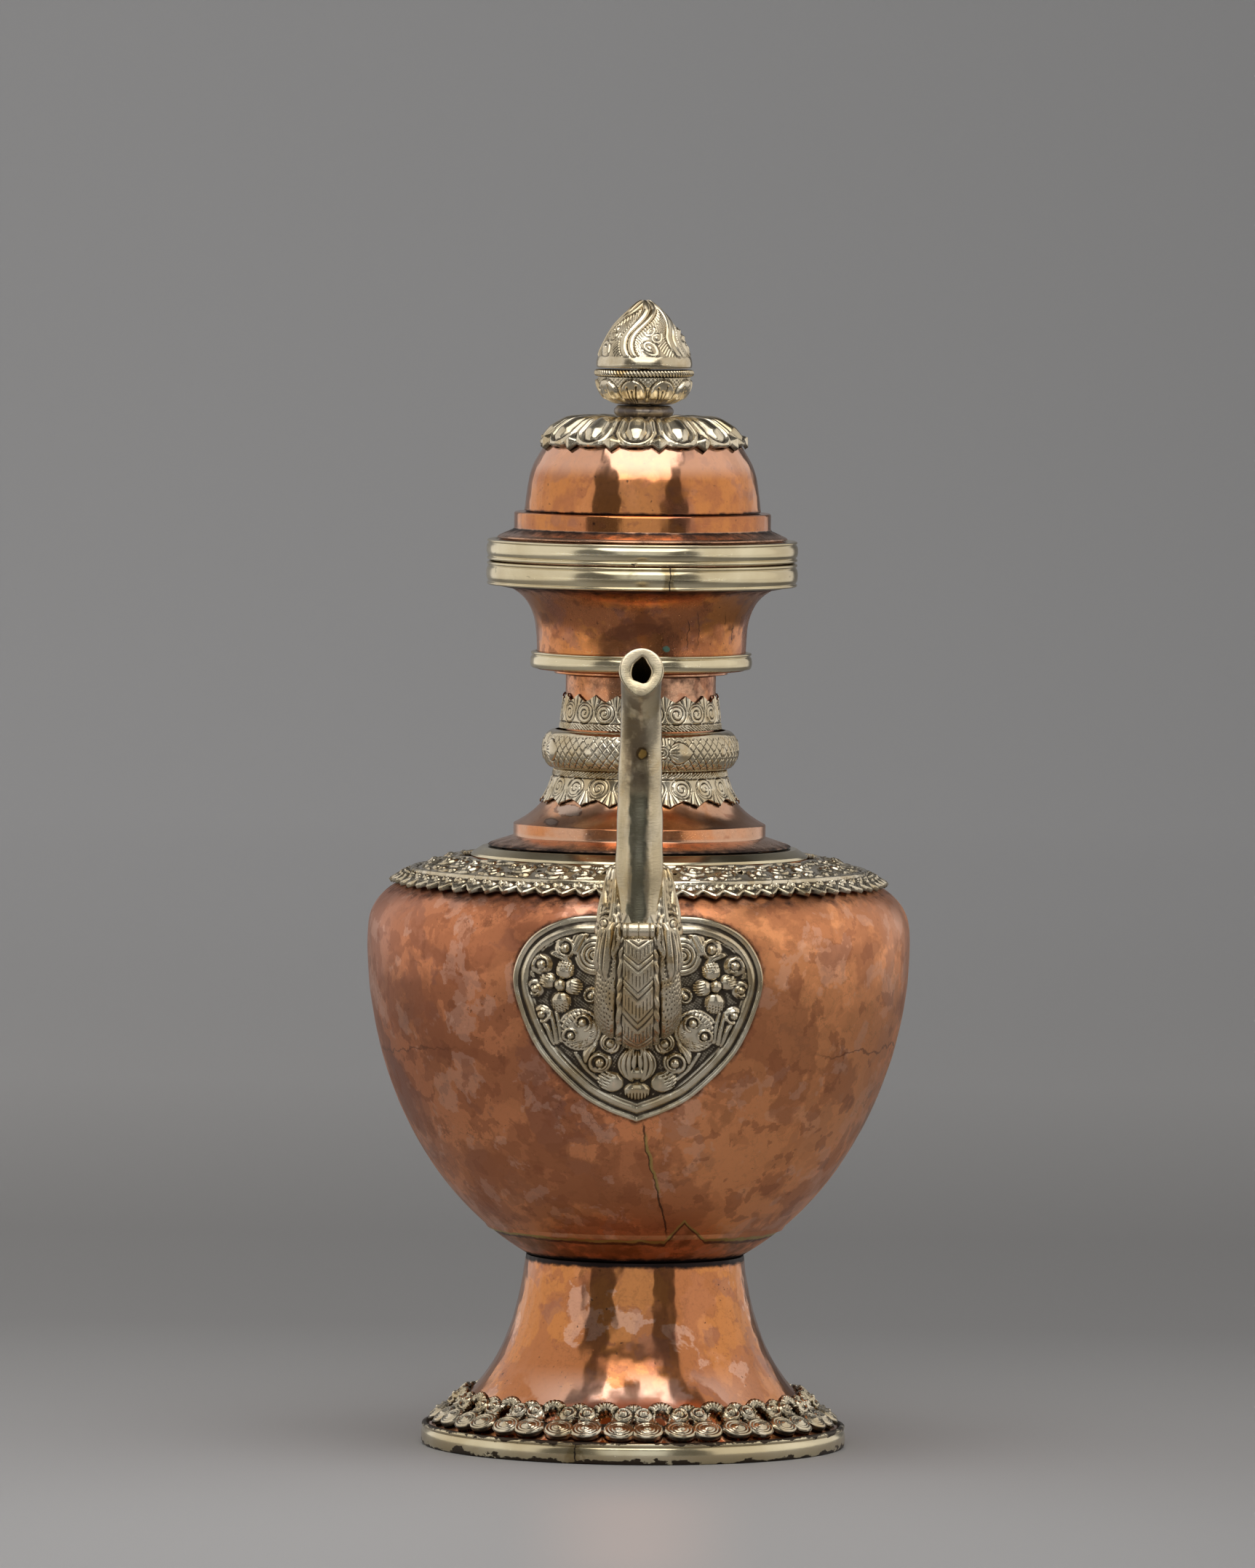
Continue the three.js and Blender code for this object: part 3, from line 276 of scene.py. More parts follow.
def pressed(places, relief, opening=None, edge=0.0, cavity=0.25, blur=3, dirt=0.0):
    # a grid laid on places, with the relief pressed along its normals. Faces where opening is above
    # zero are cut out, edge is how far the sheet's free edges go back, and dirt darkens the hollows.
    bm = bmesh.new()
    rows, columns = relief.shape
    bmesh.ops.create_grid(bm, x_segments=columns - 1, y_segments=rows - 1, size=1)
    bm.verts.ensure_lookup_table()
    along, across = slopes(places)
    outward = np.cross(across, along)
    outward /= np.maximum(np.linalg.norm(outward, axis=2, keepdims=True), 1e-9)
    raised = places + outward * relief[..., None]
    hollow = np.clip((softened(relief, blur) - relief) / cavity + 0.35 + dirt, 0, 1)
    depth = bm.verts.layers.float.new("depth")
    inward = bm.verts.layers.float_vector.new("inward")
    flat = [grid.reshape(-1, 3) for grid in (raised, outward)]
    for vert, place, normal, share in zip(bm.verts, *flat, hollow.ravel()):
        vert.co = place
        vert[depth] = share
        vert[inward] = -normal
    if opening is not None:
        values = opening.ravel()
        gone = [face for face in bm.faces if sum(values[vert.index] for vert in face.verts) > 0]
        fall = np.gradient(opening)
        steep = np.maximum(fall[0] ** 2 + fall[1] ** 2, 1e-9)
        moves = [np.clip(-opening * part / steep, -0.7, 0.7) for part in fall]
        shift = (along * moves[0][..., None] + across * moves[1][..., None]).reshape(-1, 3)
        rim = {vert for face in gone for vert in face.verts}
        bmesh.ops.delete(bm, geom=gone, context="FACES")
        for vert in rim:
            if vert.is_valid:
                vert.co += Vector(shift[vert.index])
    bmesh.ops.remove_doubles(bm, verts=bm.verts, dist=1e-3)
    if edge:
        free = [side for side in bm.edges if side.is_boundary]
        made = bmesh.ops.extrude_edge_only(bm, edges=free)["geom"]
        for vert in made:
            if isinstance(vert, bmesh.types.BMVert):
                vert.co += edge * Vector(vert[inward])
                # painted shade: the sheet's cut edges are marked deep, so they come out dark
                vert[depth] = 0.8
    return bm


def turnedGrid(columns, rows):
    # angles from the back round by the left to the front, and the share of the way along, as grids
    angles = np.linspace(0, fullTurn, columns + 1) - 1.5 * math.pi
    return np.meshgrid(angles, np.linspace(0, 1, rows + 1))


def onPath(path, angles, distances):
    # places at angles round the axis and distances along a path of (radius, level) points
    path = np.asarray(path, float)
    lengths = np.concatenate([[0], np.cumsum(np.linalg.norm(np.diff(path, axis=0), axis=1))])
    reach = np.interp(distances, lengths, path[:, 0])
    level = np.interp(distances, lengths, path[:, 1])
    return np.stack([reach * np.cos(angles), reach * np.sin(angles), level], axis=2), reach


def folded(angles, units, half=0.0):
    # the angle from the middle of the nearest of a number of units round, and that unit's number
    turns = (angles + math.pi / 2) / fullTurn * units + half
    unit = np.round(turns)
    return (turns - unit) * fullTurn / units, unit


def paint(mesh, name, values):
    # a number at each vertex, for the material to read
    layer = mesh.attributes.new(name, "FLOAT", "POINT")
    layer.data.foreach_set("value", np.clip(values, 0, 1).astype(np.float32))


def makePiece(name, mesh, material, body, slot, *nodes):
    piece = bpy.data.objects.new(name, mesh)
    scene.collection.objects.link(piece)
    mesh.materials.append(material)
    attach(piece, body)
    if nodes:
        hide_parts(*nodes)
    return piece


# Hammered sheet

def waviness(angles, heights, size, seed):
    # slow unevenness of a raised vessel, from -1 to 1
    random = np.random.default_rng(seed)
    total = np.zeros_like(angles)
    for _ in range(7):
        around = random.integers(2, 9)
        along = random.uniform(0.6, 1.6) / size
        swell = np.sin(around * angles + random.uniform(0, 6.3))
        total += swell * np.sin(along * heights * 2 + random.uniform(0, 6.3))
    return total / 4


def hammered(angles, heights, radius, size, seed):
    # shallow flats of a planishing hammer: squared distance to the nearest blow, from 0 to about 1
    columns = max(6, round(fullTurn * radius / size))
    across = (angles / fullTurn % 1) * columns
    up = (heights - heights.min()) / size
    rows = int(up.max()) + 3
    jitter = np.random.default_rng(seed).random((columns, rows, 2))
    column, row = np.floor(across).astype(int), np.floor(up).astype(int)
    nearest = np.full_like(angles, 9.0)
    for stepAcross in (-1, 0, 1):
        for stepUp in (-1, 0, 1):
            blow = jitter[(column + stepAcross) % columns, np.clip(row + stepUp, 0, rows - 1)]
            gapAcross = column + stepAcross + 0.1 + 0.8 * blow[:, 0] - across
            gapUp = row + stepUp + 0.1 + 0.8 * blow[:, 1] - up
            nearest = np.minimum(nearest, gapAcross**2 + gapUp**2)
    return nearest


def raisedSheet(name, outline, look):
    # turned copper, then beaten: both faces of the sheet move together
    mesh = meshOf(spun(outline, look["steps"]), name)
    places = coordinates(mesh)
    angles = np.arctan2(places[:, 1], places[:, 0])
    reach = np.hypot(places[:, 0], places[:, 1])
    press = look["wave"] * (waviness(angles, places[:, 2], look["waveSize"], look["seed"]) - 1) / 2
    blows = hammered(angles, places[:, 2], look["radius"], look["blowSize"], look["seed"])
    press -= look["blowDepth"] * np.clip(1 - 2 * blows, 0, 1)
    share = 1 + press / np.maximum(reach, 5)
    places[:, 0] *= share
    places[:, 1] *= share
    moveTo(mesh, places)
    return mesh


# Materials

def tone(red, green, blue):
    # a colour as it is seen on a screen, from 0 to 255, as Blender's linear one
    def linear(value):
        share = value / 255
        return share / 12.92 if share < 0.04045 else ((share + 0.055) / 1.055) ** 2.4

    return (linear(red), linear(green), linear(blue), 1)


def node(tree, kind, inputs=(), **settings):
    made = tree.nodes.new("ShaderNode" + kind)
    for key, value in settings.items():
        setattr(made, key, value)
    for socket, value in dict(inputs).items():
        if isinstance(value, bpy.types.NodeSocket):
            tree.links.new(value, made.inputs[socket])
        else:
            made.inputs[socket].default_value = value
    return made


def objectPlace(tree, stretch=(1, 1, 1)):
    place = node(tree, "TexCoord").outputs["Object"]
    return node(tree, "Mapping", {"Vector": place, "Scale": stretch}).outputs["Vector"]


def noise(tree, place, size, detail=5, roughness=0.55, distortion=0.0):
    # size is the breadth of a patch in millimetres
    inputs = {
        "Vector": place, "Scale": 1 / (size * mm), "Detail": detail, "Roughness": roughness,
        "Distortion": distortion,
    }
    return node(tree, "TexNoise", inputs).outputs["Fac"]


def ramp(tree, value, low, high):
    # 0 below low, 1 above high, smooth between
    inputs = {"Value": value, "From Min": low, "From Max": high}
    return node(tree, "MapRange", inputs, interpolation_type="SMOOTHSTEP").outputs["Result"]


def scaled(tree, value, low, high):
    inputs = {"Value": value, "To Min": low, "To Max": high}
    return node(tree, "MapRange", inputs).outputs["Result"]


def combine(tree, kind, a, b):
    made = node(tree, "Math", operation=kind)
    for socket, value in zip(made.inputs, (a, b)):
        if isinstance(value, bpy.types.NodeSocket):
            tree.links.new(value, socket)
        else:
            socket.default_value = value
    return made.outputs["Value"]


def times(tree, a, b):
    return combine(tree, "MULTIPLY", a, b)


def plus(tree, a, b):
    return combine(tree, "ADD", a, b)


def minus(tree, a, b):
    return combine(tree, "SUBTRACT", a, b)


def absolute(tree, value):
    return combine(tree, "ABSOLUTE", value, 0)


def vectors(tree, kind, a, b):
    return node(tree, "VectorMath", {0: a, 1: b}, operation=kind).outputs["Vector"]


def blend(tree, share, a, b):
    # colour a where share is 0, colour b where it is 1
    made = node(tree, "Mix", data_type="RGBA", clamp_factor=True)
    for socket, value in zip((made.inputs[0], made.inputs[6], made.inputs[7]), (share, a, b)):
        if isinstance(value, bpy.types.NodeSocket):
            tree.links.new(value, socket)
        else:
            socket.default_value = value
    return made.outputs[2]


def bumped(tree, height, depth, under=None):
    # depth is the relief's real height in millimetres
    inputs = {"Height": height, "Distance": depth * mm, "Strength": 1.0}
    if under is not None:
        inputs["Normal"] = under
    return node(tree, "Bump", inputs).outputs["Normal"]


def painted(tree, name):
    return node(tree, "Attribute", attribute_name=name, attribute_type="GEOMETRY").outputs["Fac"]


def metal(name):
    material = bpy.data.materials.new(name)
    material.use_nodes = True
    shader = material.node_tree.nodes["Principled BSDF"]
    shader.inputs["Metallic"].default_value = 1
    return material, material.node_tree, shader


copperTones = {
    "pale": tone(240, 196, 174),
    "bright": tone(242, 160, 112),
    "plain": tone(214, 144, 98),
    "orange": tone(202, 132, 78),
    "brown": tone(166, 104, 74),
    "veiled": tone(208, 166, 138),
    "dark": tone(118, 74, 56),
    "purple": tone(150, 106, 94),
    "sootAndShade": tone(46, 38, 37),
    "braze": tone(186, 164, 98),
}


def patch(tree, place, size, edge, softness=0.03, shift=0.0):
    # 1 inside irregular patches of a size, 0 outside; a higher edge leaves fewer of them
    inputs = {"Vector": place, "Location": (shift, shift * 0.7, -shift)}
    moved = node(tree, "Mapping", inputs).outputs["Vector"]
    return ramp(tree, noise(tree, moved, size, 6, 0.55, 0.2), edge, edge + softness)


def millimetres(tree, place):
    # x, y and z in millimetres
    apart = node(tree, "SeparateXYZ", {"Vector": place})
    return [combine(tree, "DIVIDE", apart.outputs[axis], mm) for axis in "XYZ"]


def spot(tree, place, centre, size, ragged=0.8):
    # 1 inside a ragged spot on the front, at (x, z) and of half (width, height)
    x, y, z = millimetres(tree, place)
    dx = combine(tree, "DIVIDE", minus(tree, x, centre[0]), size[0])
    dz = combine(tree, "DIVIDE", minus(tree, z, centre[1]), size[1])
    away = plus(tree, times(tree, dx, dx), times(tree, dz, dz))
    away = plus(tree, away, scaled(tree, noise(tree, place, 1.2 * min(size), 5, 0.7), -ragged, ragged))
    return times(tree, ramp(tree, away, 1.0, 0.85), ramp(tree, y, 0, -5))


def cracks(tree, place, size, width, wander):
    # fine dark lines of a net whose meshes are about a size across, broken here and there
    inputs = {"Vector": place, "Scale": 1 / (size * 0.5 * mm), "Detail": 6, "Roughness": 0.7}
    jitter = node(tree, "TexNoise", inputs).outputs["Color"]
    where = vectors(tree, "ADD", place, vectors(tree, "MULTIPLY", jitter, (wander * mm,) * 3))
    inputs = {"Vector": where, "Scale": 1 / (size * mm)}
    edges = node(tree, "TexVoronoi", inputs, feature="DISTANCE_TO_EDGE").outputs["Distance"]
    broken = patch(tree, place, 1.6 * size, 0.46, 0.08, 2.0)
    return times(tree, ramp(tree, edges, width / size, 0.2 * width / size), broken)


def copper(name, look, marks=None):
    # patches lie over one another in order; marks returns the colour with a piece's own marks on it
    material, tree, shader = metal(name)
    place = objectPlace(tree)
    colour = copperTones[look["ground"]]
    dull = 0.0
    for number, (kind, size, edge, softness, share) in enumerate(look["patches"]):
        mask = times(tree, patch(tree, place, size, edge, softness, 0.13 * (number + 1)), share)
        colour = blend(tree, mask, colour, copperTones[kind])
        if kind in ("brown", "dark"):
            dull = plus(tree, dull, times(tree, mask, look["dullness"]))
    grain = noise(tree, place, 1.4, 5, 0.7)
    colour = blend(tree, times(tree, ramp(tree, grain, 0.5, 0.75), 0.3), colour, copperTones["dark"])
    coarse, close = cracks(tree, place, 12, 0.3, 14), cracks(tree, place, 5, 0.16, 6)
    net = combine(tree, "MAXIMUM", coarse, times(tree, close, 0.7))
    net = times(tree, net, patch(tree, place, 48, 0.46, 0.1, 1.1))
    colour = blend(tree, times(tree, net, look["crackle"]), colour, copperTones["sootAndShade"])
    pits = ramp(tree, noise(tree, place, 1.6, 2, 0.5), 0.70, 0.75)
    colour = blend(tree, times(tree, pits, 0.7), colour, copperTones["sootAndShade"])
    if marks:
        colour = marks(tree, place, colour)
    # darkening read from the soot attribute: soot at joints, and painted shade along the lower edge of the
    # shoulder's border
    smokeAndShade = times(tree, painted(tree, "sootAndShade"), 1.5)
    smokeAndShade = plus(tree, smokeAndShade, scaled(tree, noise(tree, place, 5, 7, 0.7), -0.6, 0.6))
    smokeAndShade = ramp(tree, smokeAndShade, 0.3, 0.85)
    colour = blend(tree, smokeAndShade, colour, copperTones["sootAndShade"])
    tree.links.new(colour, shader.inputs["Base Color"])
    streaks = noise(tree, objectPlace(tree, (1, 1, 0.3)), 0.9, 4, 0.7)
    rough = scaled(tree, streaks, look["roughness"] - 0.05, look["roughness"] + 0.06)
    rough = plus(tree, rough, dull)
    rough = plus(tree, rough, times(tree, smokeAndShade, 0.3))
    tree.links.new(rough, shader.inputs["Roughness"])
    fine = bumped(tree, streaks, look["scratch"])
    dents = bumped(tree, noise(tree, place, 8, 2, 0.4), look["dents"], fine)
    tree.links.new(dents, shader.inputs["Normal"])
    return material


brassTones = {
    "bright": tone(226, 214, 182),
    "plain": tone(200, 184, 148),
    "stain": tone(128, 108, 80),
    "dark": tone(74, 64, 54),
}


def whiteBrass(name, look, marks=None):
    material, tree, shader = metal(name)
    place = objectPlace(tree)
    broad = ramp(tree, noise(tree, place, 35, 4, 0.5, 0.5), 0.35, 0.65)
    colour = blend(tree, broad, brassTones["plain"], brassTones["bright"])
    stain = ramp(tree, noise(tree, place, 9, 7, 0.65, 1.0), look["stainEdge"], look["stainEdge"] + 0.08)
    colour = blend(tree, times(tree, stain, 0.7), colour, brassTones["stain"])
    if marks:
        colour = marks(tree, place, colour)
    dirt = times(tree, painted(tree, "sootAndShade"), 1.3)
    flakes = scaled(tree, noise(tree, objectPlace(tree, (1, 1, 2)), 7, 6, 0.6), -0.9, 0.9)
    dirt = ramp(tree, plus(tree, dirt, flakes), 0.44, 0.52)
    colour = blend(tree, dirt, colour, brassTones["dark"])
    tree.links.new(colour, shader.inputs["Base Color"])
    scratches = noise(tree, objectPlace(tree, look["brush"]), 1.2, 4, 0.7)
    rough = scaled(tree, scratches, look["roughness"] - 0.06, look["roughness"] + 0.08)
    rough = plus(tree, rough, times(tree, dirt, 0.3))
    tree.links.new(rough, shader.inputs["Roughness"])
    fine = bumped(tree, scratches, look["scratch"])
    chipped = bumped(tree, minus(tree, 1, dirt), 0.12, fine)
    tree.links.new(bumped(tree, noise(tree, place, 7, 2), look["dents"], chipped), shader.inputs["Normal"])
    return material


def seamMark(at):
    # a soldered joint of a strip, across its front at a distance to the side
    def marks(tree, place, colour):
        apart = node(tree, "SeparateXYZ", {"Vector": place})
        x = combine(tree, "DIVIDE", apart.outputs["X"], mm)
        front = ramp(tree, apart.outputs["Y"], 0, -0.01)
        x = plus(tree, x, scaled(tree, noise(tree, place, 2, 5, 0.7), -1.2, 1.2))
        away = absolute(tree, minus(tree, x, at))
        stain = plus(tree, away, scaled(tree, noise(tree, place, 4, 5, 0.6), -4, 4))
        stained = times(tree, ramp(tree, stain, 3.2, 1.6), front)
        colour = blend(tree, times(tree, stained, 0.7), colour, tone(150, 128, 84))
        line = times(tree, ramp(tree, away, 0.32, 0.14), front)
        return blend(tree, line, colour, brassTones["dark"])

    return marks


silverTones = {
    "bright": tone(226, 214, 190),
    "plain": tone(196, 182, 154),
    "warm": tone(184, 158, 112),
    "recess": tone(50, 41, 35),
}
silverLook = {"roughness": 0.16, "tarnish": 0.5, "recess": 0.95, "scratch": 0.006}


def silver(name, look, marks=None):
    material, tree, shader = metal(name)
    place = objectPlace(tree)
    broad = ramp(tree, noise(tree, place, 16, 5, 0.6, 0.3), 0.40, 0.60)
    colour = blend(tree, broad, silverTones["plain"], silverTones["bright"])
    warm = ramp(tree, noise(tree, place, 11, 6, 0.6, 0.5), 0.5, 0.62)
    colour = blend(tree, times(tree, warm, look["tarnish"]), colour, silverTones["warm"])
    if marks:
        colour = marks(tree, place, colour)
    grime = scaled(tree, noise(tree, place, 3, 6, 0.7), -0.3, 0.3)
    deep = ramp(tree, plus(tree, painted(tree, "depth"), grime), 0.42, 0.95)
    deep = times(tree, deep, look["recess"])
    colour = blend(tree, deep, colour, silverTones["recess"])
    tree.links.new(colour, shader.inputs["Base Color"])
    fine = noise(tree, objectPlace(tree, look.get("brush", (1, 1, 1))), 0.9, 4, 0.7)
    rough = scaled(tree, fine, look["roughness"] - 0.05, look["roughness"] + 0.1)
    rough = plus(tree, rough, times(tree, deep, 0.3))
    tree.links.new(rough, shader.inputs["Roughness"])
    worn = bumped(tree, noise(tree, place, 2.6, 3, 0.5), 0.05)
    tree.links.new(bumped(tree, fine, look["scratch"], worn), shader.inputs["Normal"])
    return material


# The camera, floor and lights

view = {"lens": 307, "standoff": 4650, "height": 472, "aimHeight": 230.6, "aside": -4.3, "roll": 0.6}
stage = {
    "wallAt": 5.0, "bend": 1.5, "reach": 9, "nearest": -0.5, "farthest": 4.7, "aside": 1.7,
    "paintedLightGreys": [(-0.4, 184), (0.1, 168), (0.45, 148), (0.85, 147), (1.7, 172), (3.7, 181), (4.7, 164)],
    "paintedReflection": (1.26, 1.13, 1.08),
}


def makeCamera():
    camera = bpy.data.objects.new("camera", bpy.data.cameras.new("camera"))
    scene.collection.objects.link(camera)
    camera.data.lens = view["lens"]
    camera.data.clip_end = 100
    camera.location = (view["aside"] * mm, -view["standoff"] * mm, view["height"] * mm)
    aim = Vector((view["aside"] * mm, 0, view["aimHeight"] * mm)) - camera.location
    camera.rotation_mode = "QUATERNION"
    roll = Quaternion(aim.normalized(), -math.radians(view["roll"]))
    camera.rotation_quaternion = roll @ aim.to_track_quat("-Z", "Y")
    scene.camera = camera


def makeFloor():
    # a floor that sweeps up into a wall far behind
    wallAt, bend, reach = stage["wallAt"], stage["bend"], stage["reach"]
    profile = [(-reach, 0), (wallAt - bend, 0)]
    for a in np.radians(np.linspace(6, 90, 24)):
        profile.append((wallAt - bend + bend * math.sin(a), bend - bend * math.cos(a)))
    profile.append((wallAt, reach))
    bm = bmesh.new()
    verts = [bm.verts.new((-reach / mm, y / mm, z / mm)) for y, z in profile]
    edges = [bm.edges.new(pair) for pair in zip(verts, verts[1:])]
    made = bmesh.ops.extrude_edge_only(bm, edges=edges)["geom"]
    moved = [vert for vert in made if isinstance(vert, bmesh.types.BMVert)]
    bmesh.ops.translate(bm, vec=(2 * reach / mm, 0, 0), verts=moved)
    bmesh.ops.recalc_face_normals(bm, faces=bm.faces)
    floor = bpy.data.objects.new("floor", meshOf(bm, "floor"))
    scene.collection.objects.link(floor)
    material = bpy.data.materials.new("floor")
    material.use_nodes = True
    tree = material.node_tree
    shader = tree.nodes["Principled BSDF"]
    shader.inputs["Roughness"].default_value = 0.6
    shader.inputs["Specular IOR Level"].default_value = 0.2
    place = node(tree, "SeparateXYZ", {"Vector": node(tree, "TexCoord").outputs["Object"]})
    across, along = place.outputs["X"], place.outputs["Y"]
    # painted light: the greys along the floor and up the wall stand in for how the light falls off, not for
    # the floor's own colour
    span = {"Value": along, "From Min": stage["nearest"], "From Max": stage["farthest"]}
    paintedLightGreys = node(tree, "ValToRGB", {"Fac": node(tree, "MapRange", span).outputs["Result"]})
    stops = paintedLightGreys.color_ramp.elements
    for number, (away, grey) in enumerate(stage["paintedLightGreys"]):
        at = (away - stage["nearest"]) / (stage["farthest"] - stage["nearest"])
        stop = stops[number] if number < 2 else stops.new(at)
        stop.position = at
        stop.color = tone(grey, grey - 1, grey - 1)
    # painted reflection of the copper foot on the floor: a warm tint in the floor's colour
    paintedReflection = ramp(tree, absolute(tree, across), 0.045, 0.0)  # a warm glow in front of the foot
    paintedReflection = times(tree, ramp(tree, along, -0.09, -0.24), paintedReflection)
    paintedReflection = times(tree, paintedReflection, ramp(tree, along, -0.52, -0.34))
    colour = blend(tree, paintedReflection, (1, 1, 1, 1), (*stage["paintedReflection"], 1))
    # painted shade: the floor darkens towards the right and lightens towards the left, as the light falls
    # across it
    slant = combine(tree, "DIVIDE", across, plus(tree, along, view["standoff"] * mm))
    paintedSideShade = minus(tree, 1, times(tree, slant, stage["aside"]))
    colour = vectors(tree, "MULTIPLY", paintedLightGreys.outputs["Color"], colour)
    colour = node(tree, "VectorMath", {0: colour, "Scale": paintedSideShade}, operation="SCALE").outputs["Vector"]
    tree.links.new(colour, shader.inputs["Base Color"])
    floor.data.materials.append(material)


def makeLamp(name, kind, place, aim, energy, **settings):
    lamp = bpy.data.objects.new(name, bpy.data.lights.new(name, kind))
    scene.collection.objects.link(lamp)
    lamp.location = place
    lamp.rotation_euler = (Vector(aim) - Vector(place)).to_track_quat("-Z", "Y").to_euler()
    lamp.data.energy = energy
    for key, value in settings.items():
        setattr(lamp.data, key, value)


def makeLights():
    # two tall panels beside the vessel, a box close over it, a dim panel behind the camera and a wall lamp
    sides = {"shape": "RECTANGLE", "size_y": 1.9, "color": (1, 0.97, 0.93)}
    makeLamp("left panel", "AREA", (-1.1, 0.5, 0.97), (0, 0.5, 0.97), 11.6, size=2.8, **sides)
    makeLamp("right panel", "AREA", (1.1, 0.35, 0.97), (0, 0.35, 0.97), 14, size=3.1, **sides)
    makeLamp("top box", "AREA", (0.0, -0.243, 0.70), (0, -0.062, 0.343), 2.1, shape="RECTANGLE", size=0.46,
             size_y=0.62)
    makeLamp("front panel", "AREA", (0, -6, 2.2), (0, 0, 0.3), 36, shape="RECTANGLE", size=4.4, size_y=4.4,
             color=(0.93, 0.97, 1))
    makeLamp("wall lamp", "AREA", (0, 2.6, 3.2), (0, 5, 1.2), 45, shape="RECTANGLE", size=3, size_y=0.6)
    scene.world = bpy.data.worlds.new("studio")
    scene.world.use_nodes = True
    background = scene.world.node_tree.nodes["Background"]
    background.inputs["Color"].default_value = tone(150, 149, 148)
    background.inputs["Strength"].default_value = 0.5


scene.view_settings.view_transform = "Standard"
makeCamera()
makeFloor()
makeLights()
print("stage set")


# The foot

footLook = {
    "steps": 408, "radius": 50, "wave": 0.35, "waveSize": 30, "blowSize": 5.5, "blowDepth": 0.17, "seed": 3,
    "ground": "orange", "crackle": 0.2,
    "patches": [
        ("plain", 34, 0.50, 0.03, 0.6), ("brown", 24, 0.50, 0.04, 0.5), ("pale", 22, 0.60, 0.02, 0.4),
        ("purple", 14, 0.58, 0.04, 0.4), ("brown", 9, 0.60, 0.03, 0.5),
    ],
    "roughness": 0.14, "dullness": 0.06, "dents": 0.04, "scratch": 0.004,
}


def footMarks(tree, place, colour):
    # painted highlight: pale low on the flare, in front and behind
    x, z = millimetres(tree, place)[::2]
    # painted highlight: this mask marks where the flare is painted pale
    worn = times(tree, ramp(tree, z, 32, 20), patch(tree, place, 22, 0.44, 0.05, 0.5))
    worn = times(tree, worn, ramp(tree, absolute(tree, x), 50, 14))
    return blend(tree, times(tree, worn, 0.8), colour, copperTones["pale"])


footSizes = {"flareShare": 0.21, "seatWidth": 5, "topRadius": 38.2, "wall": 1.2}


def footCurve():
    # the flare, from the strip at its foot up to the body
    high, skirt = levels("foot_shell")[1:]
    flareFoot = levels("foot_rim_band")[1] - 0.9
    shares = np.linspace(0, 1, 81)
    reach = mix(footSizes["topRadius"], skirt, flare(shares, footSizes["flareShare"]))
    return np.column_stack([reach, mix(flareFoot, high, shares)])


def footSheet():
    low, high, skirt = levels("foot_shell")
    wall = footSizes["wall"]
    seat = footSizes["topRadius"] - footSizes["seatWidth"]
    path = [(skirt, low), *map(tuple, footCurve()[::2])]
    inner = offset(path[1:], -wall)[::-1]
    outline = path + [(seat, high), (seat, high - wall), (inner[1][0], high - wall)]
    outline += [tuple(p) for p in inner[2:]] + [(skirt - wall, low)]
    mesh = raisedSheet("copperFoot", rounded(outline, 0.5), footLook)
    heights = coordinates(mesh)[:, 2]
    paint(mesh, "sootAndShade", np.clip(1 - (high - heights) / 3.5, 0, 1) * 0.9)
    makePiece("copperFoot", mesh, copper("footCopper", footLook, footMarks), "vessel", "copper", "foot_shell")


# A rolled strip of white brass: a lip where it has one, a broad swelling, a groove and a bead

def stripOutline(outer, wall, low, high, bead, beadAtTop, lip=0.0):
    inner = outer - wall
    main = high - low - bead
    points = [(inner, 0)]
    swells = ((0, lip, 0.75, 0.5), (lip, main, 0.7, 0.7), (main, high - low, 0.85, 0.65))
    for start, end, back, bulge in swells:
        if end <= start:
            continue
        for step in range(10):
            t = step / 9
            out = outer - back + bulge * math.sin(math.pi * t) ** 0.5
            points.append((out, mix(start + 0.1 * (start > 0), end - 0.1, t)))
    points += [(inner, high - low)]
    return [(r, low + z if beadAtTop else high - z) for r, z in points]


stripLook = {
    "roughness": 0.17, "stainEdge": 0.66, "brush": (1, 1, 6), "scratch": 0.004, "dents": 0.03,
}


def stripPiece(name, node, bead, beadAtTop, wall, body, sootAndShade=None, seam=None, lip=0.0):
    low, high, outer = levels(node)
    mesh = meshOf(spun(stripOutline(outer, wall, low, high, bead, beadAtTop, lip), 360), name)
    places = coordinates(mesh)
    paint(mesh, "sootAndShade", sootAndShade(places) if sootAndShade else 0.1 * np.ones(len(places)))
    marks = None if seam is None else seamMark(seam)
    makePiece(name, mesh, whiteBrass(name, stripLook, marks), body, "white_brass", node)


def footStrip():
    top = levels("foot_rim_band")[1]

    def flaking(places):
        fromEdge = np.minimum(places[:, 2], (top - places[:, 2]) * 1.6)
        return np.clip(1 - fromEdge / 4.2, 0.12, 1) * 0.5

    stripPiece("footStrip", "foot_rim_band", 1.8, True, 1.8, "vessel", flaking, seam=-20)


footSheet()
footStrip()
print("foot made")


# The body: a base dish, the bowl and the shoulder, all raised copper

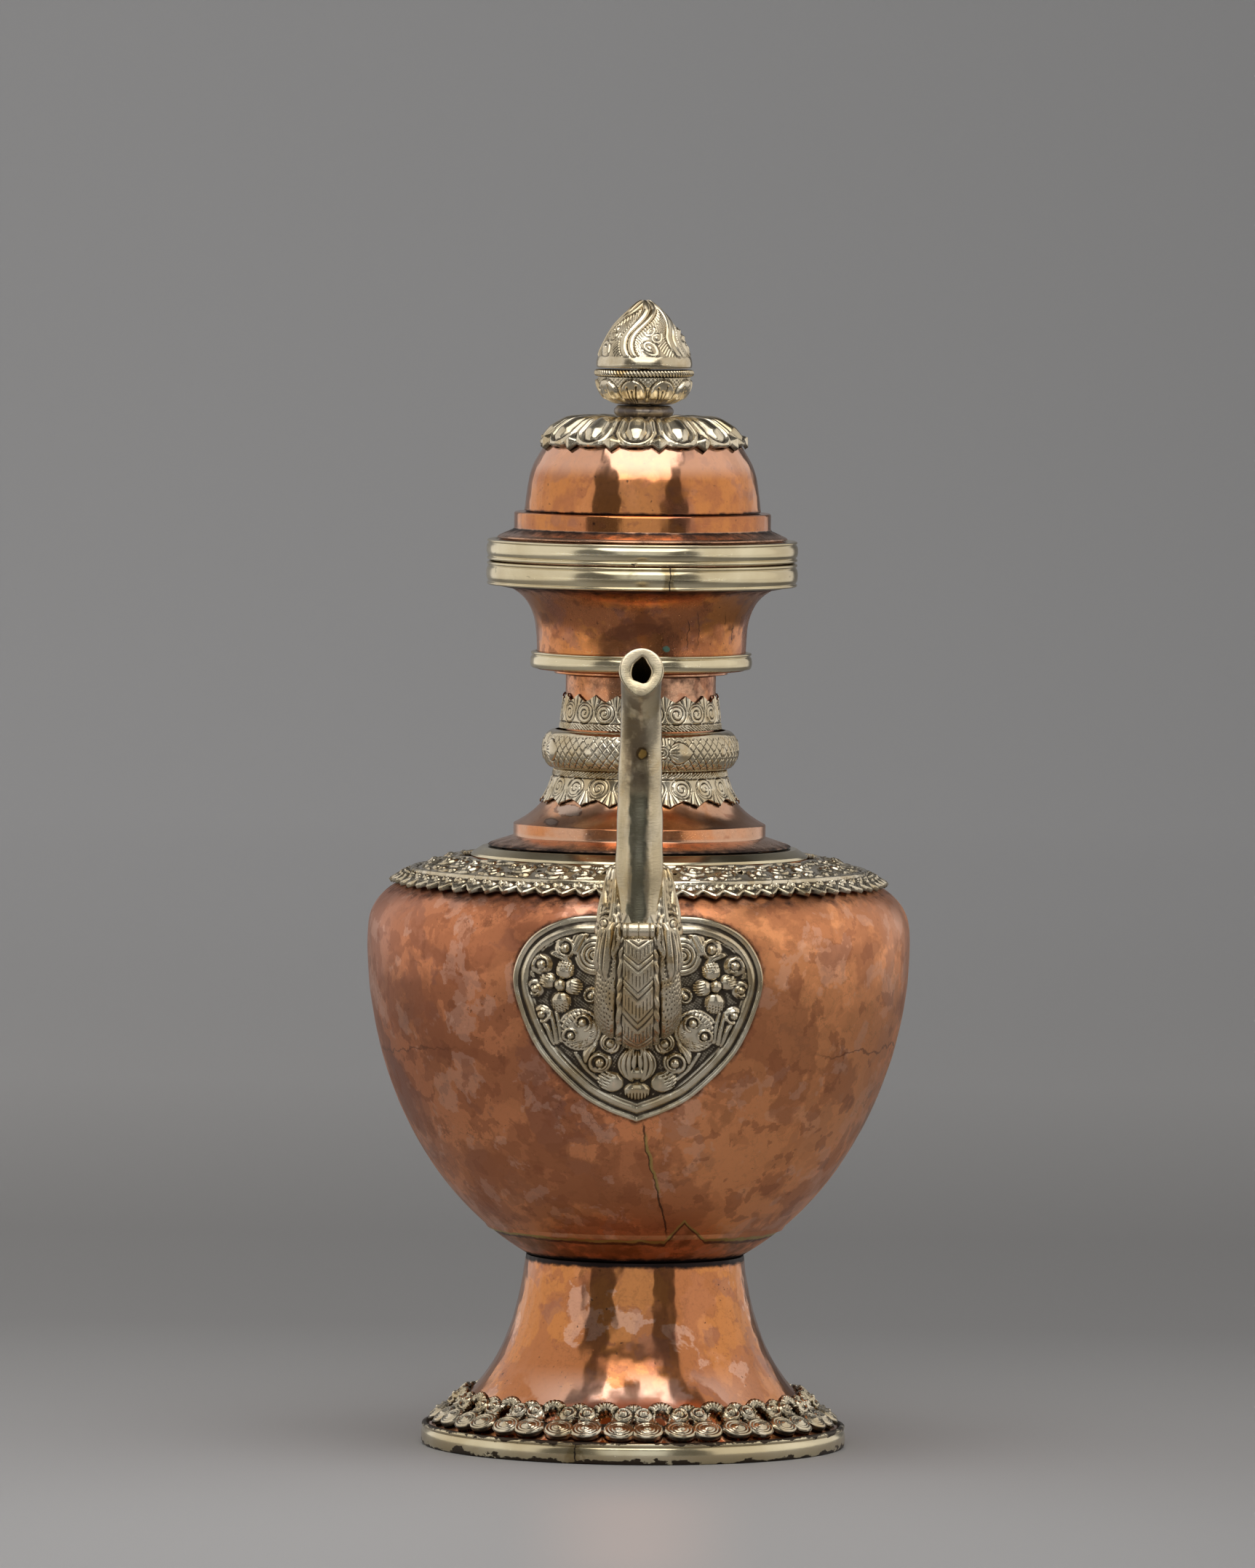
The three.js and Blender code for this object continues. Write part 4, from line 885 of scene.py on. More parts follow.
bodySizes = {
    "bowlShare": 0.856, "crownShare": 0.914, "lowerHeight": 108, "crownHeight": 34, "footRadius": 38.2,
    "opening": 34, "wall": 1.2,
}
bodyLook = {
    "steps": 384, "radius": 85, "wave": 0.7, "waveSize": 60, "blowSize": 10, "blowDepth": 0.1, "seed": 11,
    "ground": "bright", "crackle": 0.8,
    "patches": [
        ("plain", 50, 0.45, 0.10, 0.5), ("brown", 36, 0.49, 0.03, 0.75), ("purple", 26, 0.54, 0.03, 0.6),
        ("bright", 24, 0.53, 0.02, 0.8), ("pale", 18, 0.60, 0.02, 0.45), ("brown", 14, 0.56, 0.03, 0.6),
        ("dark", 11, 0.59, 0.04, 0.5),
    ],
    "worn": [("brown", 30, 0.50, 0.04, 0.45), ("pale", 17, 0.57, 0.02, 0.25), ("brown", 10, 0.56, 0.03, 0.5)],
    "roughness": 0.3, "dullness": 0.1, "dents": 0.09, "scratch": 0.008,
}
bodyRadius = levels("shoulder_shell")[2]
bodyBottom = levels("body_base")[0]
widest = bodyBottom + bodySizes["lowerHeight"]
bowlPower = math.log(1 - bodySizes["bowlShare"] ** 2) / math.log(0.5)
crownPower = math.log(bodySizes["crownShare"]) / math.log(0.75)
lowerAxis = (widest - bodyBottom) / (1 - (bodySizes["footRadius"] / bodyRadius) ** 2) ** (1 / bowlPower)


def bodyReach(height):
    # the body's radius at a level, below or above the widest line
    drop = np.clip((widest - height) / lowerAxis, 0, 1)
    rise = np.clip((height - widest) / bodySizes["crownHeight"], 0, 0.985)
    below = bodyRadius * np.sqrt(1 - drop**bowlPower)
    above = bodyRadius * np.sqrt(1 - rise ** (1 / crownPower))
    return np.where(height < widest, below, above)


def bodyPath():
    # from the foot up to the neck's opening
    drops = [math.sin(a) for a in np.linspace(math.asin((widest - bodyBottom) / lowerAxis), 0, 70)]
    bowl = [(bodyRadius * math.sqrt(1 - drop**bowlPower), widest - lowerAxis * drop) for drop in drops]
    last = math.acos(bodySizes["opening"] / bodyRadius)
    crown = []
    for step in range(1, 61):
        a = last * (step / 60) ** 1.15
        rise = bodySizes["crownHeight"] * math.sin(a) ** (2 * crownPower)
        crown.append((bodyRadius * math.cos(a), widest + rise))
    return evenly(bowl + crown, 1.5)


def bodySheet():
    # bowl and shoulder are brazed into one, so one skin stands for both
    low = levels("bowl_shell")[0]
    path = np.array([p for p in bodyPath() if p[1] > low])
    path[0][1] = low
    inner = evenly(offset(path, -bodySizes["wall"]), 5)[::-1]
    mesh = raisedSheet("copperBody", rounded([*map(tuple, path), *map(tuple, inner)], 0.3), bodyLook)
    makePiece(
        "copperBody", mesh, copper("bodyCopper", bodyLook, bodyMarks), "vessel", "copper", "bowl_shell",
        "shoulder_shell"
    )
    places = coordinates(mesh)
    paint(mesh, "sootAndShade", bodySootAndShade(places))


def heartOutline():
    # right half of the heart from the dip at the top down to the point, mirrored; (x, z) all round
    low, high, outer = levels("spout_plate")
    low, high, halfWidth = low + 1.2, high - 1.9, outer - 1.7
    middle = low + 50
    shares = [(0, 0.95), (0.3, 1), (0.6, 0.93), (0.87, 0.62), (1, 0.04), (0.96, -0.22), (0.79, -0.53)]
    shares += [(0.48, -0.8), (0.25, -0.92), (0, -1)]
    right = [(x * halfWidth, middle + y * (high - middle if y > 0 else middle - low)) for x, y in shares]
    right = smoothPath(right, 12)
    left = right[::-1][1:-1] * [-1, 1]
    return np.vstack([right, left])


def bodySootAndShade(places):
    # painted shade along the lower edge of the shoulder's sheet, and a dark band round the spout's plate
    x, y, z = places.T
    edge = levels("shoulder_scroll_border")[0]
    # painted shade where the shoulder's border meets the body
    sootAndShade = np.clip(1 - np.abs(z - edge) / 4.0, 0, 1) * 0.4
    rim = heartOutline()
    near = np.flatnonzero((y < 0) & (np.abs(x) < 50) & (z > 112) & (z < 196))
    away = np.hypot(x[near, None] - rim[None, :, 0], z[near, None] - rim[None, :, 1]).min(axis=1)
    sootAndShade[near] = np.maximum(sootAndShade[near], np.clip(1 - away / 3.4, 0, 1) * 0.66)
    return sootAndShade


def wanderingLine(tree, value, at, halfWidth, softness=0.4):
    # 1 on a line where a length in millimetres meets another one
    away = absolute(tree, minus(tree, value, at))
    return ramp(tree, away, halfWidth + softness, halfWidth)


bodySeams = {"seam": 75.2, "tabAt": 17, "tabHalf": 7, "tabRise": 8, "crackTop": 118, "sides": 141}


def bodyMarks(tree, place, colour):
    # painted shade on the left and higher up on the left, painted light on the right and low down,
    # then the brazed seam above the foot with its tab, a crack below the plate and fine cracks at the sides
    x, y, z = millimetres(tree, place)
    # painted shade: darker towards the left, and more so high up on the left
    left = ramp(tree, x, 40, -80)
    colour = blend(tree, times(tree, left, 0.4), colour, copperTones["brown"])
    high = times(tree, left, ramp(tree, z, 160, 190))
    colour = blend(tree, times(tree, high, 0.35), colour, copperTones["brown"])
    # painted light: lighter towards the right and low down
    paintedLitTone = tone(250, 172, 116)
    colour = blend(tree, times(tree, ramp(tree, x, -20, 60), 0.6), colour, paintedLitTone)
    colour = blend(tree, times(tree, ramp(tree, z, 130, 95), 0.35), colour, paintedLitTone)
    for kind, size, edge, softness, share in bodyLook["worn"]:
        mask = times(tree, patch(tree, place, size, edge, softness, 2.3), share)
        colour = blend(tree, mask, colour, copperTones[kind])
    slow = scaled(tree, noise(tree, place, 26, 4, 0.6), -7, 7)
    quick = scaled(tree, noise(tree, place, 5, 4, 0.6), -2.2, 2.2)
    front = ramp(tree, y, 0, -5)
    fromTab = absolute(tree, minus(tree, x, bodySeams["tabAt"]))
    tab = minus(tree, 1, combine(tree, "DIVIDE", fromTab, bodySeams["tabHalf"]))
    tab = times(tree, times(tree, combine(tree, "MAXIMUM", tab, 0), bodySeams["tabRise"]), front)
    seamAt = plus(tree, plus(tree, times(tree, slow, 0.35), bodySeams["seam"]), tab)
    seamAt = plus(tree, seamAt, times(tree, quick, 0.4))
    under = times(tree, ramp(tree, minus(tree, seamAt, z), 0, 1.2), patch(tree, place, 12, 0.45, 0.1))
    colour = blend(tree, times(tree, under, 0.55), colour, tone(120, 84, 44))
    colour = blend(tree, wanderingLine(tree, z, seamAt, 0.3), colour, copperTones["braze"])
    shadow = wanderingLine(tree, z, minus(tree, seamAt, 0.9), 0.25)
    colour = blend(tree, times(tree, shadow, 0.7), colour, copperTones["sootAndShade"])
    crackAt = times(tree, minus(tree, bodySeams["crackTop"], z), 0.22)
    crackAt = plus(tree, plus(tree, times(tree, slow, 0.25), crackAt), 2.0)
    crackAt = plus(tree, crackAt, times(tree, quick, 0.5))
    crack = times(tree, wanderingLine(tree, x, crackAt, 0.2, 0.35), front)
    crack = times(tree, crack, times(tree, ramp(tree, z, 76, 80), ramp(tree, z, 119, 117)))
    colour = blend(tree, times(tree, crack, 0.8), colour, copperTones["sootAndShade"])
    yellow = times(tree, wanderingLine(tree, x, plus(tree, crackAt, 0.5), 0.35, 0.3), front)
    yellow = times(tree, yellow, times(tree, ramp(tree, z, 92, 96), ramp(tree, z, 116, 112)))
    colour = blend(tree, times(tree, yellow, 0.7), colour, copperTones["braze"])
    sideAt = plus(tree, plus(tree, slow, bodySeams["sides"]), times(tree, quick, 1.2))
    atSides = times(tree, ramp(tree, absolute(tree, x), 56, 72), front)
    side = times(tree, wanderingLine(tree, z, sideAt, 0.15, 0.4), atSides)
    return blend(tree, times(tree, side, 0.6), colour, copperTones["dark"])


def baseDish():
    low, high = levels("body_base")[:2]
    wall = bodySizes["wall"]
    path = np.array([p for p in bodyPath() if p[1] < high])
    path = np.vstack([path, [(float(bodyReach(high)), high)]])
    inner = offset(path, -wall)[::-1]
    outline = [(0, low), *map(tuple, path), *map(tuple, inner[:-1])]
    outline += [(bodySizes["footRadius"] - wall, low + wall), (0, low + wall)]
    mesh = raisedSheet("copperBase", outline, bodyLook)
    heights = coordinates(mesh)[:, 2]
    paint(mesh, "sootAndShade", np.clip(1 - (heights - low) / 2.5, 0, 1) * 0.7)
    makePiece("copperBase", mesh, bpy.data.materials["bodyCopper"], "vessel", "copper", "body_base")


bodySheet()
baseDish()
print("body made")


# The neck: a ring, a stepped cone and a tube

neckLook = {
    "steps": 300, "radius": 38, "wave": 0.2, "waveSize": 18, "blowSize": 6, "blowDepth": 0.08, "seed": 21,
    "ground": "plain", "crackle": 0.2,
    "patches": [
        ("veiled", 30, 0.46, 0.14, 0.8), ("orange", 20, 0.52, 0.10, 0.5), ("brown", 15, 0.57, 0.06, 0.5),
    ],
    "roughness": 0.2, "dullness": 0.08, "dents": 0.04, "scratch": 0.005,
}


def neckMarks(tree, place, colour):
    # two pools of solder below the collar, with dark rims, and a dull flange
    for centre, size in (((-24.5, 222.6), (4.4, 1.7)), ((-30.5, 218.6), (2.0, 0.9))):
        rim = spot(tree, place, centre, (size[0] + 0.7, size[1] + 0.4), 1.3)
        colour = blend(tree, times(tree, rim, 0.6), colour, tone(92, 74, 70))
        pool = spot(tree, place, centre, size, 1.3)
        colour = blend(tree, times(tree, pool, 0.75), colour, tone(200, 176, 160))
    z = millimetres(tree, place)[2]
    return blend(tree, times(tree, ramp(tree, z, 214, 213), 0.75), colour, copperTones["veiled"])


neckSizes = {
    "flareShare": 0.2315, "stepRadius": 44, "flangeRise": 3.6, "stepHeight": 4.3, "coneTop": 29.2,
    "wall": 1.2, "ringInner": 50, "tube": 26.2, "bore": 25,
}


def conePath():
    low, high = levels("neck_base")[:2]
    stepTop = low + neckSizes["flangeRise"] + neckSizes["stepHeight"]
    path = []
    for step in range(25):
        t = step / 24
        reach = mix(neckSizes["coneTop"], neckSizes["stepRadius"], flare(t, neckSizes["flareShare"]))
        path.append((reach, mix(stepTop, high, t)))
    return path


def neckSheet():
    low, high, flange = levels("neck_base")
    wall = neckSizes["wall"]
    outer = [(flange, low), (neckSizes["stepRadius"], low + neckSizes["flangeRise"]), *conePath()]
    inner = [(r - wall, z - 0.4) for r, z in conePath()][::-1]
    inner[0] = (neckSizes["coneTop"] - wall, high)
    outline = outer + inner + [(neckSizes["stepRadius"] - wall, low)]
    mesh = raisedSheet("neckCone", rounded(outline, 0.7), neckLook)
    heights = coordinates(mesh)[:, 2] - low
    paint(mesh, "sootAndShade", np.clip(1 - heights / 1.5, 0, 1) * 0.3 + 0.32 * np.clip((4.2 - heights) / 1.0, 0, 1))
    makePiece("neckCone", mesh, copper("neckCopper", neckLook, neckMarks), "vessel", "copper", "neck_base")


def neckRing():
    low, high, outer = levels("neck_base_ring")
    inner = neckSizes["ringInner"]
    outline = [(inner, low + 2.2), (outer - 0.5, low + 0.6), (outer, low + 1.3), (outer - 0.6, low + 2.2)]
    outline += [(mix(inner, outer, 0.55), high), (inner, high)]
    mesh = meshOf(spun(rounded(outline, 0.6), 360), "neckRing")
    paint(mesh, "sootAndShade", 0.1 * np.ones(len(mesh.vertices)))
    makePiece("neckRing", mesh, whiteBrass("neckRing", stripLook), "vessel", "white_brass", "neck_base_ring")


def neckTube():
    low, high, reach = levels("neck_tube")
    outer, wall = neckSizes["tube"], neckSizes["wall"]
    outline = [(outer - wall, low), (reach, low), (reach, low + wall), (outer, low + wall)]
    outline += [(outer, high), (outer - wall, high)]
    path = rounded(outline, 0.4)
    mesh = raisedSheet("neckTube", path, neckLook)
    paint(mesh, "sootAndShade", np.clip(1 - (high - coordinates(mesh)[:, 2]) / 3, 0, 1) * 0.4)
    makePiece("neckTube", mesh, bpy.data.materials["neckCopper"], "vessel", "copper", "neck_tube")


def neckFlange():
    low, high, reach = levels("neck_flange")
    bore = neckSizes["bore"]
    outline = [(bore, low), (reach, low), (reach, high), (bore, high)]
    mesh = meshOf(spun(rounded(outline, 0.3), 240), "neckFlange")
    paint(mesh, "sootAndShade", 0.2 * np.ones(len(mesh.vertices)))
    makePiece("neckFlange", mesh, bpy.data.materials["neckCopper"], "vessel", "copper", "neck_flange")


neckSheet()
neckRing()
neckTube()
neckFlange()
print("neck made")


# The cup mouth

cupLook = {
    "steps": 360, "radius": 40, "wave": 0.25, "waveSize": 22, "blowSize": 7, "blowDepth": 0.16, "seed": 31,
    "ground": "orange", "crackle": 0.35,
    "patches": [
        ("plain", 26, 0.50, 0.10, 0.7), ("brown", 20, 0.47, 0.05, 0.7), ("purple", 14, 0.55, 0.06, 0.5),
        ("plain", 8, 0.56, 0.12, 0.4), ("dark", 9, 0.56, 0.05, 0.5),
    ],
    "cracks": [(16, 278, 290, 0.8), (19.5, 279, 293, 0.6), (31.5, 280, 288, 0.8), (29, 286, 292, 0.6)],
    "roughness": 0.2, "dullness": 0.1, "dents": 0.06, "scratch": 0.006,
}


def cupMarks(tree, place, colour):
    # a dark stained area at the front, cracks on the right and a green spot
    x, y, z = millimetres(tree, place)
    stained = spot(tree, place, (-0.5, 281), (15, 7.5), 0.5)
    stained = times(tree, stained, patch(tree, place, 9, 0.38, 0.1, 0.3))
    colour = blend(tree, times(tree, stained, 0.45), colour, copperTones["dark"])
    front = ramp(tree, y, 0, -5)
    wander = scaled(tree, noise(tree, objectPlace(tree, (0.3, 0.3, 1)), 4, 5, 0.6), -1.6, 1.6)
    for at, low, high, share in cupLook["cracks"]:
        line = wanderingLine(tree, x, plus(tree, wander, at), 0.06, 0.14)
        line = times(tree, line, times(tree, ramp(tree, z, low, low + 2), ramp(tree, z, high, high - 2)))
        colour = blend(tree, times(tree, times(tree, line, front), share), colour, copperTones["sootAndShade"])
    green = spot(tree, place, (8.6, 279.2), (1.3, 1.1))
    return blend(tree, times(tree, green, 0.8), colour, tone(96, 150, 132))


cupSizes = {"floor": 36.5, "flareRadius": 45.5, "flareShare": 0.114, "lip": 52.4, "lipDrop": 1.3, "wall": 1.2}


def cupSheet():
    low, high = levels("cup_shell")[:2]
    floor, wall, bore = cupSizes["floor"], cupSizes["wall"], neckSizes["bore"]
    rim = high - wall
    bandTop = levels("cup_base_band")[1]
    path = [(floor, low)]
    for step in range(33):
        t = 1 - step / 32
        reach = mix(floor, cupSizes["flareRadius"], flare(t, cupSizes["flareShare"]))
        path.append((reach, mix(rim - cupSizes["lipDrop"], bandTop, t)))
    path.append((cupSizes["lip"], rim))
    inner = []
    for n, (reach, level) in enumerate(path):
        inner.insert(0, (reach - wall * (1 if n < 28 else 0.8), level + (0.3 if n > 20 else 0)))
    inner[0] = (cupSizes["lip"], high)
    inner[-1] = (floor - wall, low + wall)
    outline = [(bore, low), *path, *inner, (bore, low + wall)]
    mesh = raisedSheet("copperCup", rounded(outline, 0.8), cupLook)
    paint(mesh, "sootAndShade", np.clip(1 - (rim - coordinates(mesh)[:, 2]) / 5, 0, 1) * 0.55)
    makePiece("copperCup", mesh, copper("cupCopper", cupLook, cupMarks), "vessel", "copper", "cup_shell")


cupSheet()
stripPiece("cupBaseStrip", "cup_base_band", 1.3, True, 1.8, "vessel")
stripPiece("cupRimStrip", "cup_rim_band", 1.5, True, 1.4, "vessel", seam=9.6, lip=1.2)


# The lid

lidLook = {
    "steps": 420, "radius": 40, "wave": 0.2, "waveSize": 22, "blowSize": 4.2, "blowDepth": 0.1, "seed": 41,
    "ground": "orange", "crackle": 0.1,
    "patches": [
        ("plain", 30, 0.50, 0.10, 0.5), ("brown", 22, 0.48, 0.12, 0.6), ("purple", 16, 0.58, 0.06, 0.4),
        ("brown", 8, 0.58, 0.05, 0.5),
    ],
    "roughness": 0.13, "dullness": 0.06, "dents": 0.04, "scratch": 0.004,
}


def lidMarks(tree, place, colour):
    # painted highlight pale round the crown, with a dull flange
    z = millimetres(tree, place)[2]
    # painted highlight round the crown
    colour = blend(tree, times(tree, ramp(tree, z, 337, 343), 0.5), colour, copperTones["pale"])
    return blend(tree, times(tree, ramp(tree, z, 320, 319.4), 0.8), colour, copperTones["veiled"])


lidSizes = {"step": 44.8, "ledge": 36.2, "stemHole": 2.7, "wall": 1.2}
domeShares = [
    (1, 0), (0.985, 0.2), (0.957, 0.42), (0.9, 0.6), (0.79, 0.81), (0.68, 0.93), (0.6, 0.985), (0.45, 1),
]


def domePath():
    low, high, reach = levels("lid_dome")
    return smoothPath([(reach * r, mix(low, high, z)) for r, z in domeShares], 6)


def lidStep():
    low, high, reach = levels("lid_step")
    step, ledge, wall = lidSizes["step"], lidSizes["ledge"], lidSizes["wall"]
    outline = [
        (reach, low), (step, low + 3.3), (step, high), (ledge, high), (ledge, high - wall),
        (step - wall, high - wall), (step - wall, low),
    ]
    mesh = raisedSheet("lidStep", rounded(outline, 0.9), lidLook)
    heights = coordinates(mesh)[:, 2] - low
    corner = np.clip(1 - np.abs(heights - 3.4) / 1.0, 0, 1)
    paint(mesh, "sootAndShade", corner * 0.3 + 0.32 * np.clip((4 - heights) / 0.8, 0, 1))
    makePiece("lidStep", mesh, copper("lidCopper", lidLook, lidMarks), "lid", "copper", "lid_step")


def lidDome():
    low, high, reach = levels("lid_dome")
    hole, wall = lidSizes["stemHole"], lidSizes["wall"]
    path = [*map(tuple, domePath()), (hole, high)]
    inner = offset(path, -wall)[::-1]
    outline = path + [(hole, high - wall)] + [tuple(p) for p in inner[1:-1]] + [(reach - wall, low)]
    mesh = raisedSheet("lidDome", rounded(outline, 0.4), lidLook)
    paint(mesh, "sootAndShade", np.clip(1 - (coordinates(mesh)[:, 2] - low) / 1.6, 0, 1) * 0.6)
    makePiece("lidDome", mesh, bpy.data.materials["lidCopper"], "lid", "copper", "lid_dome")


def lidBezel():
    low, high, reach = levels("lid_bezel")
    inner = reach - lidSizes["wall"]
    outline = [(inner, low), (reach, low), (reach, high), (inner, high)]
    mesh = meshOf(spun(rounded(outline, 0.4), 300), "lidBezel")
    paint(mesh, "sootAndShade", 0.15 * np.ones(len(mesh.vertices)))
    makePiece("lidBezel", mesh, bpy.data.materials["lidCopper"], "lid", "copper", "lid_bezel")


lidStep()
lidDome()
lidBezel()
stripPiece("lidRimStrip", "lid_rim_band", 1.5, False, 3.2, "lid", lip=1.1)
print("cup and lid made")


# Chased sheet. Each ornament is pressed into a grid laid a little off the copper that carries it.

chasedSilver = silver("chasedSilver", silverLook)
sheetGap = {"seam": 0.3, "sheet": 1.1}
standoff = sheetGap["seam"] + sheetGap["sheet"]


def wobble(unit, seed):
    # a settled number from -1 to 1 for each repeat, so no two are quite alike
    return np.sin(unit * 12.9898 + seed * 4.1414) * np.cos(unit * 7.233 + seed * 1.7)


def within(path, outer, inner):
    # the stretch of a path between two radii
    path = np.asarray(path, float)
    return path[(path[:, 0] <= outer) & (path[:, 0] >= inner)]


def pathLength(path):
    return np.linalg.norm(np.diff(path, axis=0), axis=1).sum()


def chase(name, bm, body, *nodes, slot="silvered_sheet", material=chasedSilver):
    return makePiece(name, meshOf(bm, name, sharp=70), material, body, slot, *nodes)


footBorder = {
    "units": 20, "columns": 1080, "rows": 56, "roundels": (4.85, 4.4), "roundelSize": 5.5,
    "scrolls": (3.5, 12.2), "scrollSize": 3.4, "fanSize": 4.9, "smallFan": 3.4,
}


def footScrolls():
    look = footBorder
    curve = footCurve()
    path = within(offset(curve, standoff), 71.6, 52.6)
    length = pathLength(path)
    angles, share = turnedGrid(look["columns"], look["rows"])
    turn, unit = folded(angles, look["units"])
    odd = wobble(unit + np.sign(turn) / 3, 2)
    half = math.pi / look["units"]
    lowX, highX = turn * 70, turn * 57
    toEdge = (half - np.abs(turn)) * 57
    across, down = look["roundels"]
    curlX, curlY = look["scrolls"]
    bottom = down - 4.3 * np.sqrt(np.clip(1 - ((np.abs(lowX) - across) / 5.8) ** 2, 0.02, 1)) + 0.3 * odd
    fan = 12.8 + np.sqrt(np.clip(look["fanSize"] ** 2 - toEdge**2, 0, None))
    small = 13.6 + np.sqrt(np.clip(look["smallFan"] ** 2 - highX**2, 0, None))
    curlTop = curlY + 3.2 * np.sqrt(np.clip(1 - ((np.abs(highX) - curlX) / 3.6) ** 2, 0, 1))
    top = np.maximum(np.maximum(fan, small), curlTop)
    distance = mix(np.maximum(bottom, 0), np.minimum(top, length), share)
    places, reach = onPath(path, angles, distance)
    x, y = turn * reach, distance
    edgeX = (half - np.abs(turn)) * reach
    mirrored = np.abs(x)
    relief = 0.35 * np.ones_like(x)
    size = look["roundelSize"] + 0.2 * odd
    relief = np.maximum(relief, roundel(mirrored, y, look["roundels"], size, 0.74, 1.6))
    spread = np.hypot(edgeX, y - 12.8)
    fanBody = 1.5 * np.clip(1 - ((spread - 3.4) / 1.7) ** 2, 0, 1) ** 0.5
    fanBody *= 1 - 0.42 * np.abs(np.cos(np.arctan2(edgeX, y - 11.5) * 12)) ** 4
    relief = np.where((y > 11.2) & (spread < 5.1), np.maximum(fanBody, 0.3), relief)
    reachUp = np.hypot(x, y - 13.6)
    smallFan = 1.3 * np.clip(1 - ((reachUp - 1.9) / 1.6) ** 2, 0, 1) ** 0.5
    smallFan *= 1 - 0.4 * np.abs(np.cos(np.arctan2(x, y - 12.6) * 8)) ** 4
    relief = np.maximum(relief, np.where(y > 13.8, smallFan, 0))
    inCurl = np.hypot(mirrored - curlX, y - curlY) < look["scrollSize"]
    relief = np.where(inCurl, curl(mirrored, y, look["scrolls"], look["scrollSize"], -1, 40, 1.75), relief)
    big = 1 - (edgeX / 2.5) ** 2 - ((y - 10.6 + 0.3 * odd) / 3.6) ** 2
    little = 1 - (x / 1.1) ** 2 - ((y - 8.6) / 1.5) ** 2
    opening = np.maximum(big, little)
    relief = relief * np.clip(1 - 0.6 * np.clip(opening + 0.5, 0, 1), 0, 1) + 0.08 * odd
    bm = pressed(places, relief, opening=opening, edge=1.3, cavity=0.4)
    chase("footScrolls", bm, "vessel", "foot_scroll_border")


shoulderBorder = {"columns": 1224, "rows": 72, "lappets": 72, "waves": 18, "rim": 78.3}


def shoulderScrolls():
    look = shoulderBorder
    outer = levels("shoulder_scroll_border")[2]
    inner = levels("neck_base_ring")[2] + 1.6
    whole = offset(bodyPath(), standoff)
    path = within(whole[whole[:, 1] > widest + 4], outer + 0.4, inner)
    length = pathLength(path)
    angles, share = turnedGrid(look["columns"], look["rows"])
    turn, unit = folded(angles, look["lappets"], 0.5)
    lappetX = turn * (outer - 3)
    odd = wobble(unit, 5)
    outerEdge = 0.3 + 3.0 * (np.abs(lappetX + 0.6 * odd) / 3.6) ** 1.05 + 0.5 * odd
    wave, waveUnit = folded(angles, look["waves"])
    innerEdge = length - 1.8 * (0.5 - 0.5 * np.cos(angles * look["waves"])) - 0.1
    distance = mix(np.maximum(outerEdge, 0), innerEdge, share)
    places, reach = onPath(path, angles, distance)
    ribAt = np.interp(-look["rim"], -path[:, 0], np.linspace(0, length, len(path)))
    x, y = turn * reach, distance
    body = 0.9 * np.sqrt(np.clip(1 - (x / 3.7) ** 2, 0, 1)) * np.clip((7 - y) / 2, 0, 1)
    body *= 1 - 0.3 * np.abs(np.cos((x + 0.35 * y) * 3.6)) ** 4 * (np.abs(x) < 1.7) * (y > 2.2) * (y < 4.6)
    rolled = ridge(y - np.maximum(outerEdge, 0) - 0.9, 0.9, 1.15)
    relief = np.maximum(0.25, np.maximum(body, rolled))
    relief = np.maximum(relief, boss(x, y, (0, 5.4), (1.7, 1.4), 1.5))
    mirrored = np.abs(x)
    relief = np.maximum(relief, scroll(mirrored, y, (2.4, 7.0), 1.45, 1, 90, 1.3, 1.2))
    relief = np.where(np.abs(y - ribAt) < 1.9, 0.2, relief)
    relief = np.maximum(relief, ridge(y - ribAt, 1.25, 1.5))
    flip = np.where(waveUnit % 2 == 0, 1, -1)
    x, y = wave * flip * reach, distance - ribAt - 1.8
    half = math.pi / look["waves"] * reach
    band = np.zeros_like(x)
    for motif in (
        scroll(x, y, (-6.2, 5.6), 4.1, 1, 20, 1.9, 1.8),
        scroll(x, y, (5.4, 9.2), 4.3, -1, 160, 2.0, 1.8),
        scroll(x, y, (-0.8, 11.4), 2.3, 1, 200, 1.5, 1.3),
        boss(x, y, (0.2, 3.0), (2.0, 1.8), 1.5),
        boss(x, y, (9.6, 3.6), (2.0, 1.8), 1.5),
        boss(x, y, (-10.4, 9.4), (1.8, 1.7), 1.4),
        leaf(x, y, (-11, 12.2), (-1.5, 14.2), 2.2, 1.4, 1.2, 5),
        leaf(x, y, (1.0, 5.0), (9.8, 1.4), 1.7, 1.2, -1.0, 4),
        leaf(x, y, (-11.0, 2.6), (-3.0, 0.9), 1.5, 1.1, 0.8, 4),
        leaf(x, y, (2.0, 14.3), (11.0, 12.4), 1.9, 1.3, 1.0, 5),
    ):
        band = np.maximum(band, 0.8 * motif)
    band = np.maximum(band, ridge(innerEdge - distance - 1.1, 1.1, 1.2))
    band += 0.08 * np.sin(x * 5.1) * np.sin(y * 4.7) * (band < 0.2)
    relief = np.where(distance > ribAt + 1.8, np.maximum(0.2, band), relief)
    hole = 1 - ((half - np.abs(wave * reach)) / 1.15) ** 2 - ((y - 7.6) / 0.9) ** 2
    bm = pressed(places, relief, opening=hole, edge=1.3, cavity=0.6)
    chase("shoulderScrolls", bm, "vessel", "shoulder_scroll_border")


plateLook = {"columns": 640, "rows": 112, "centre": 158.0, "standoff": 2.1}


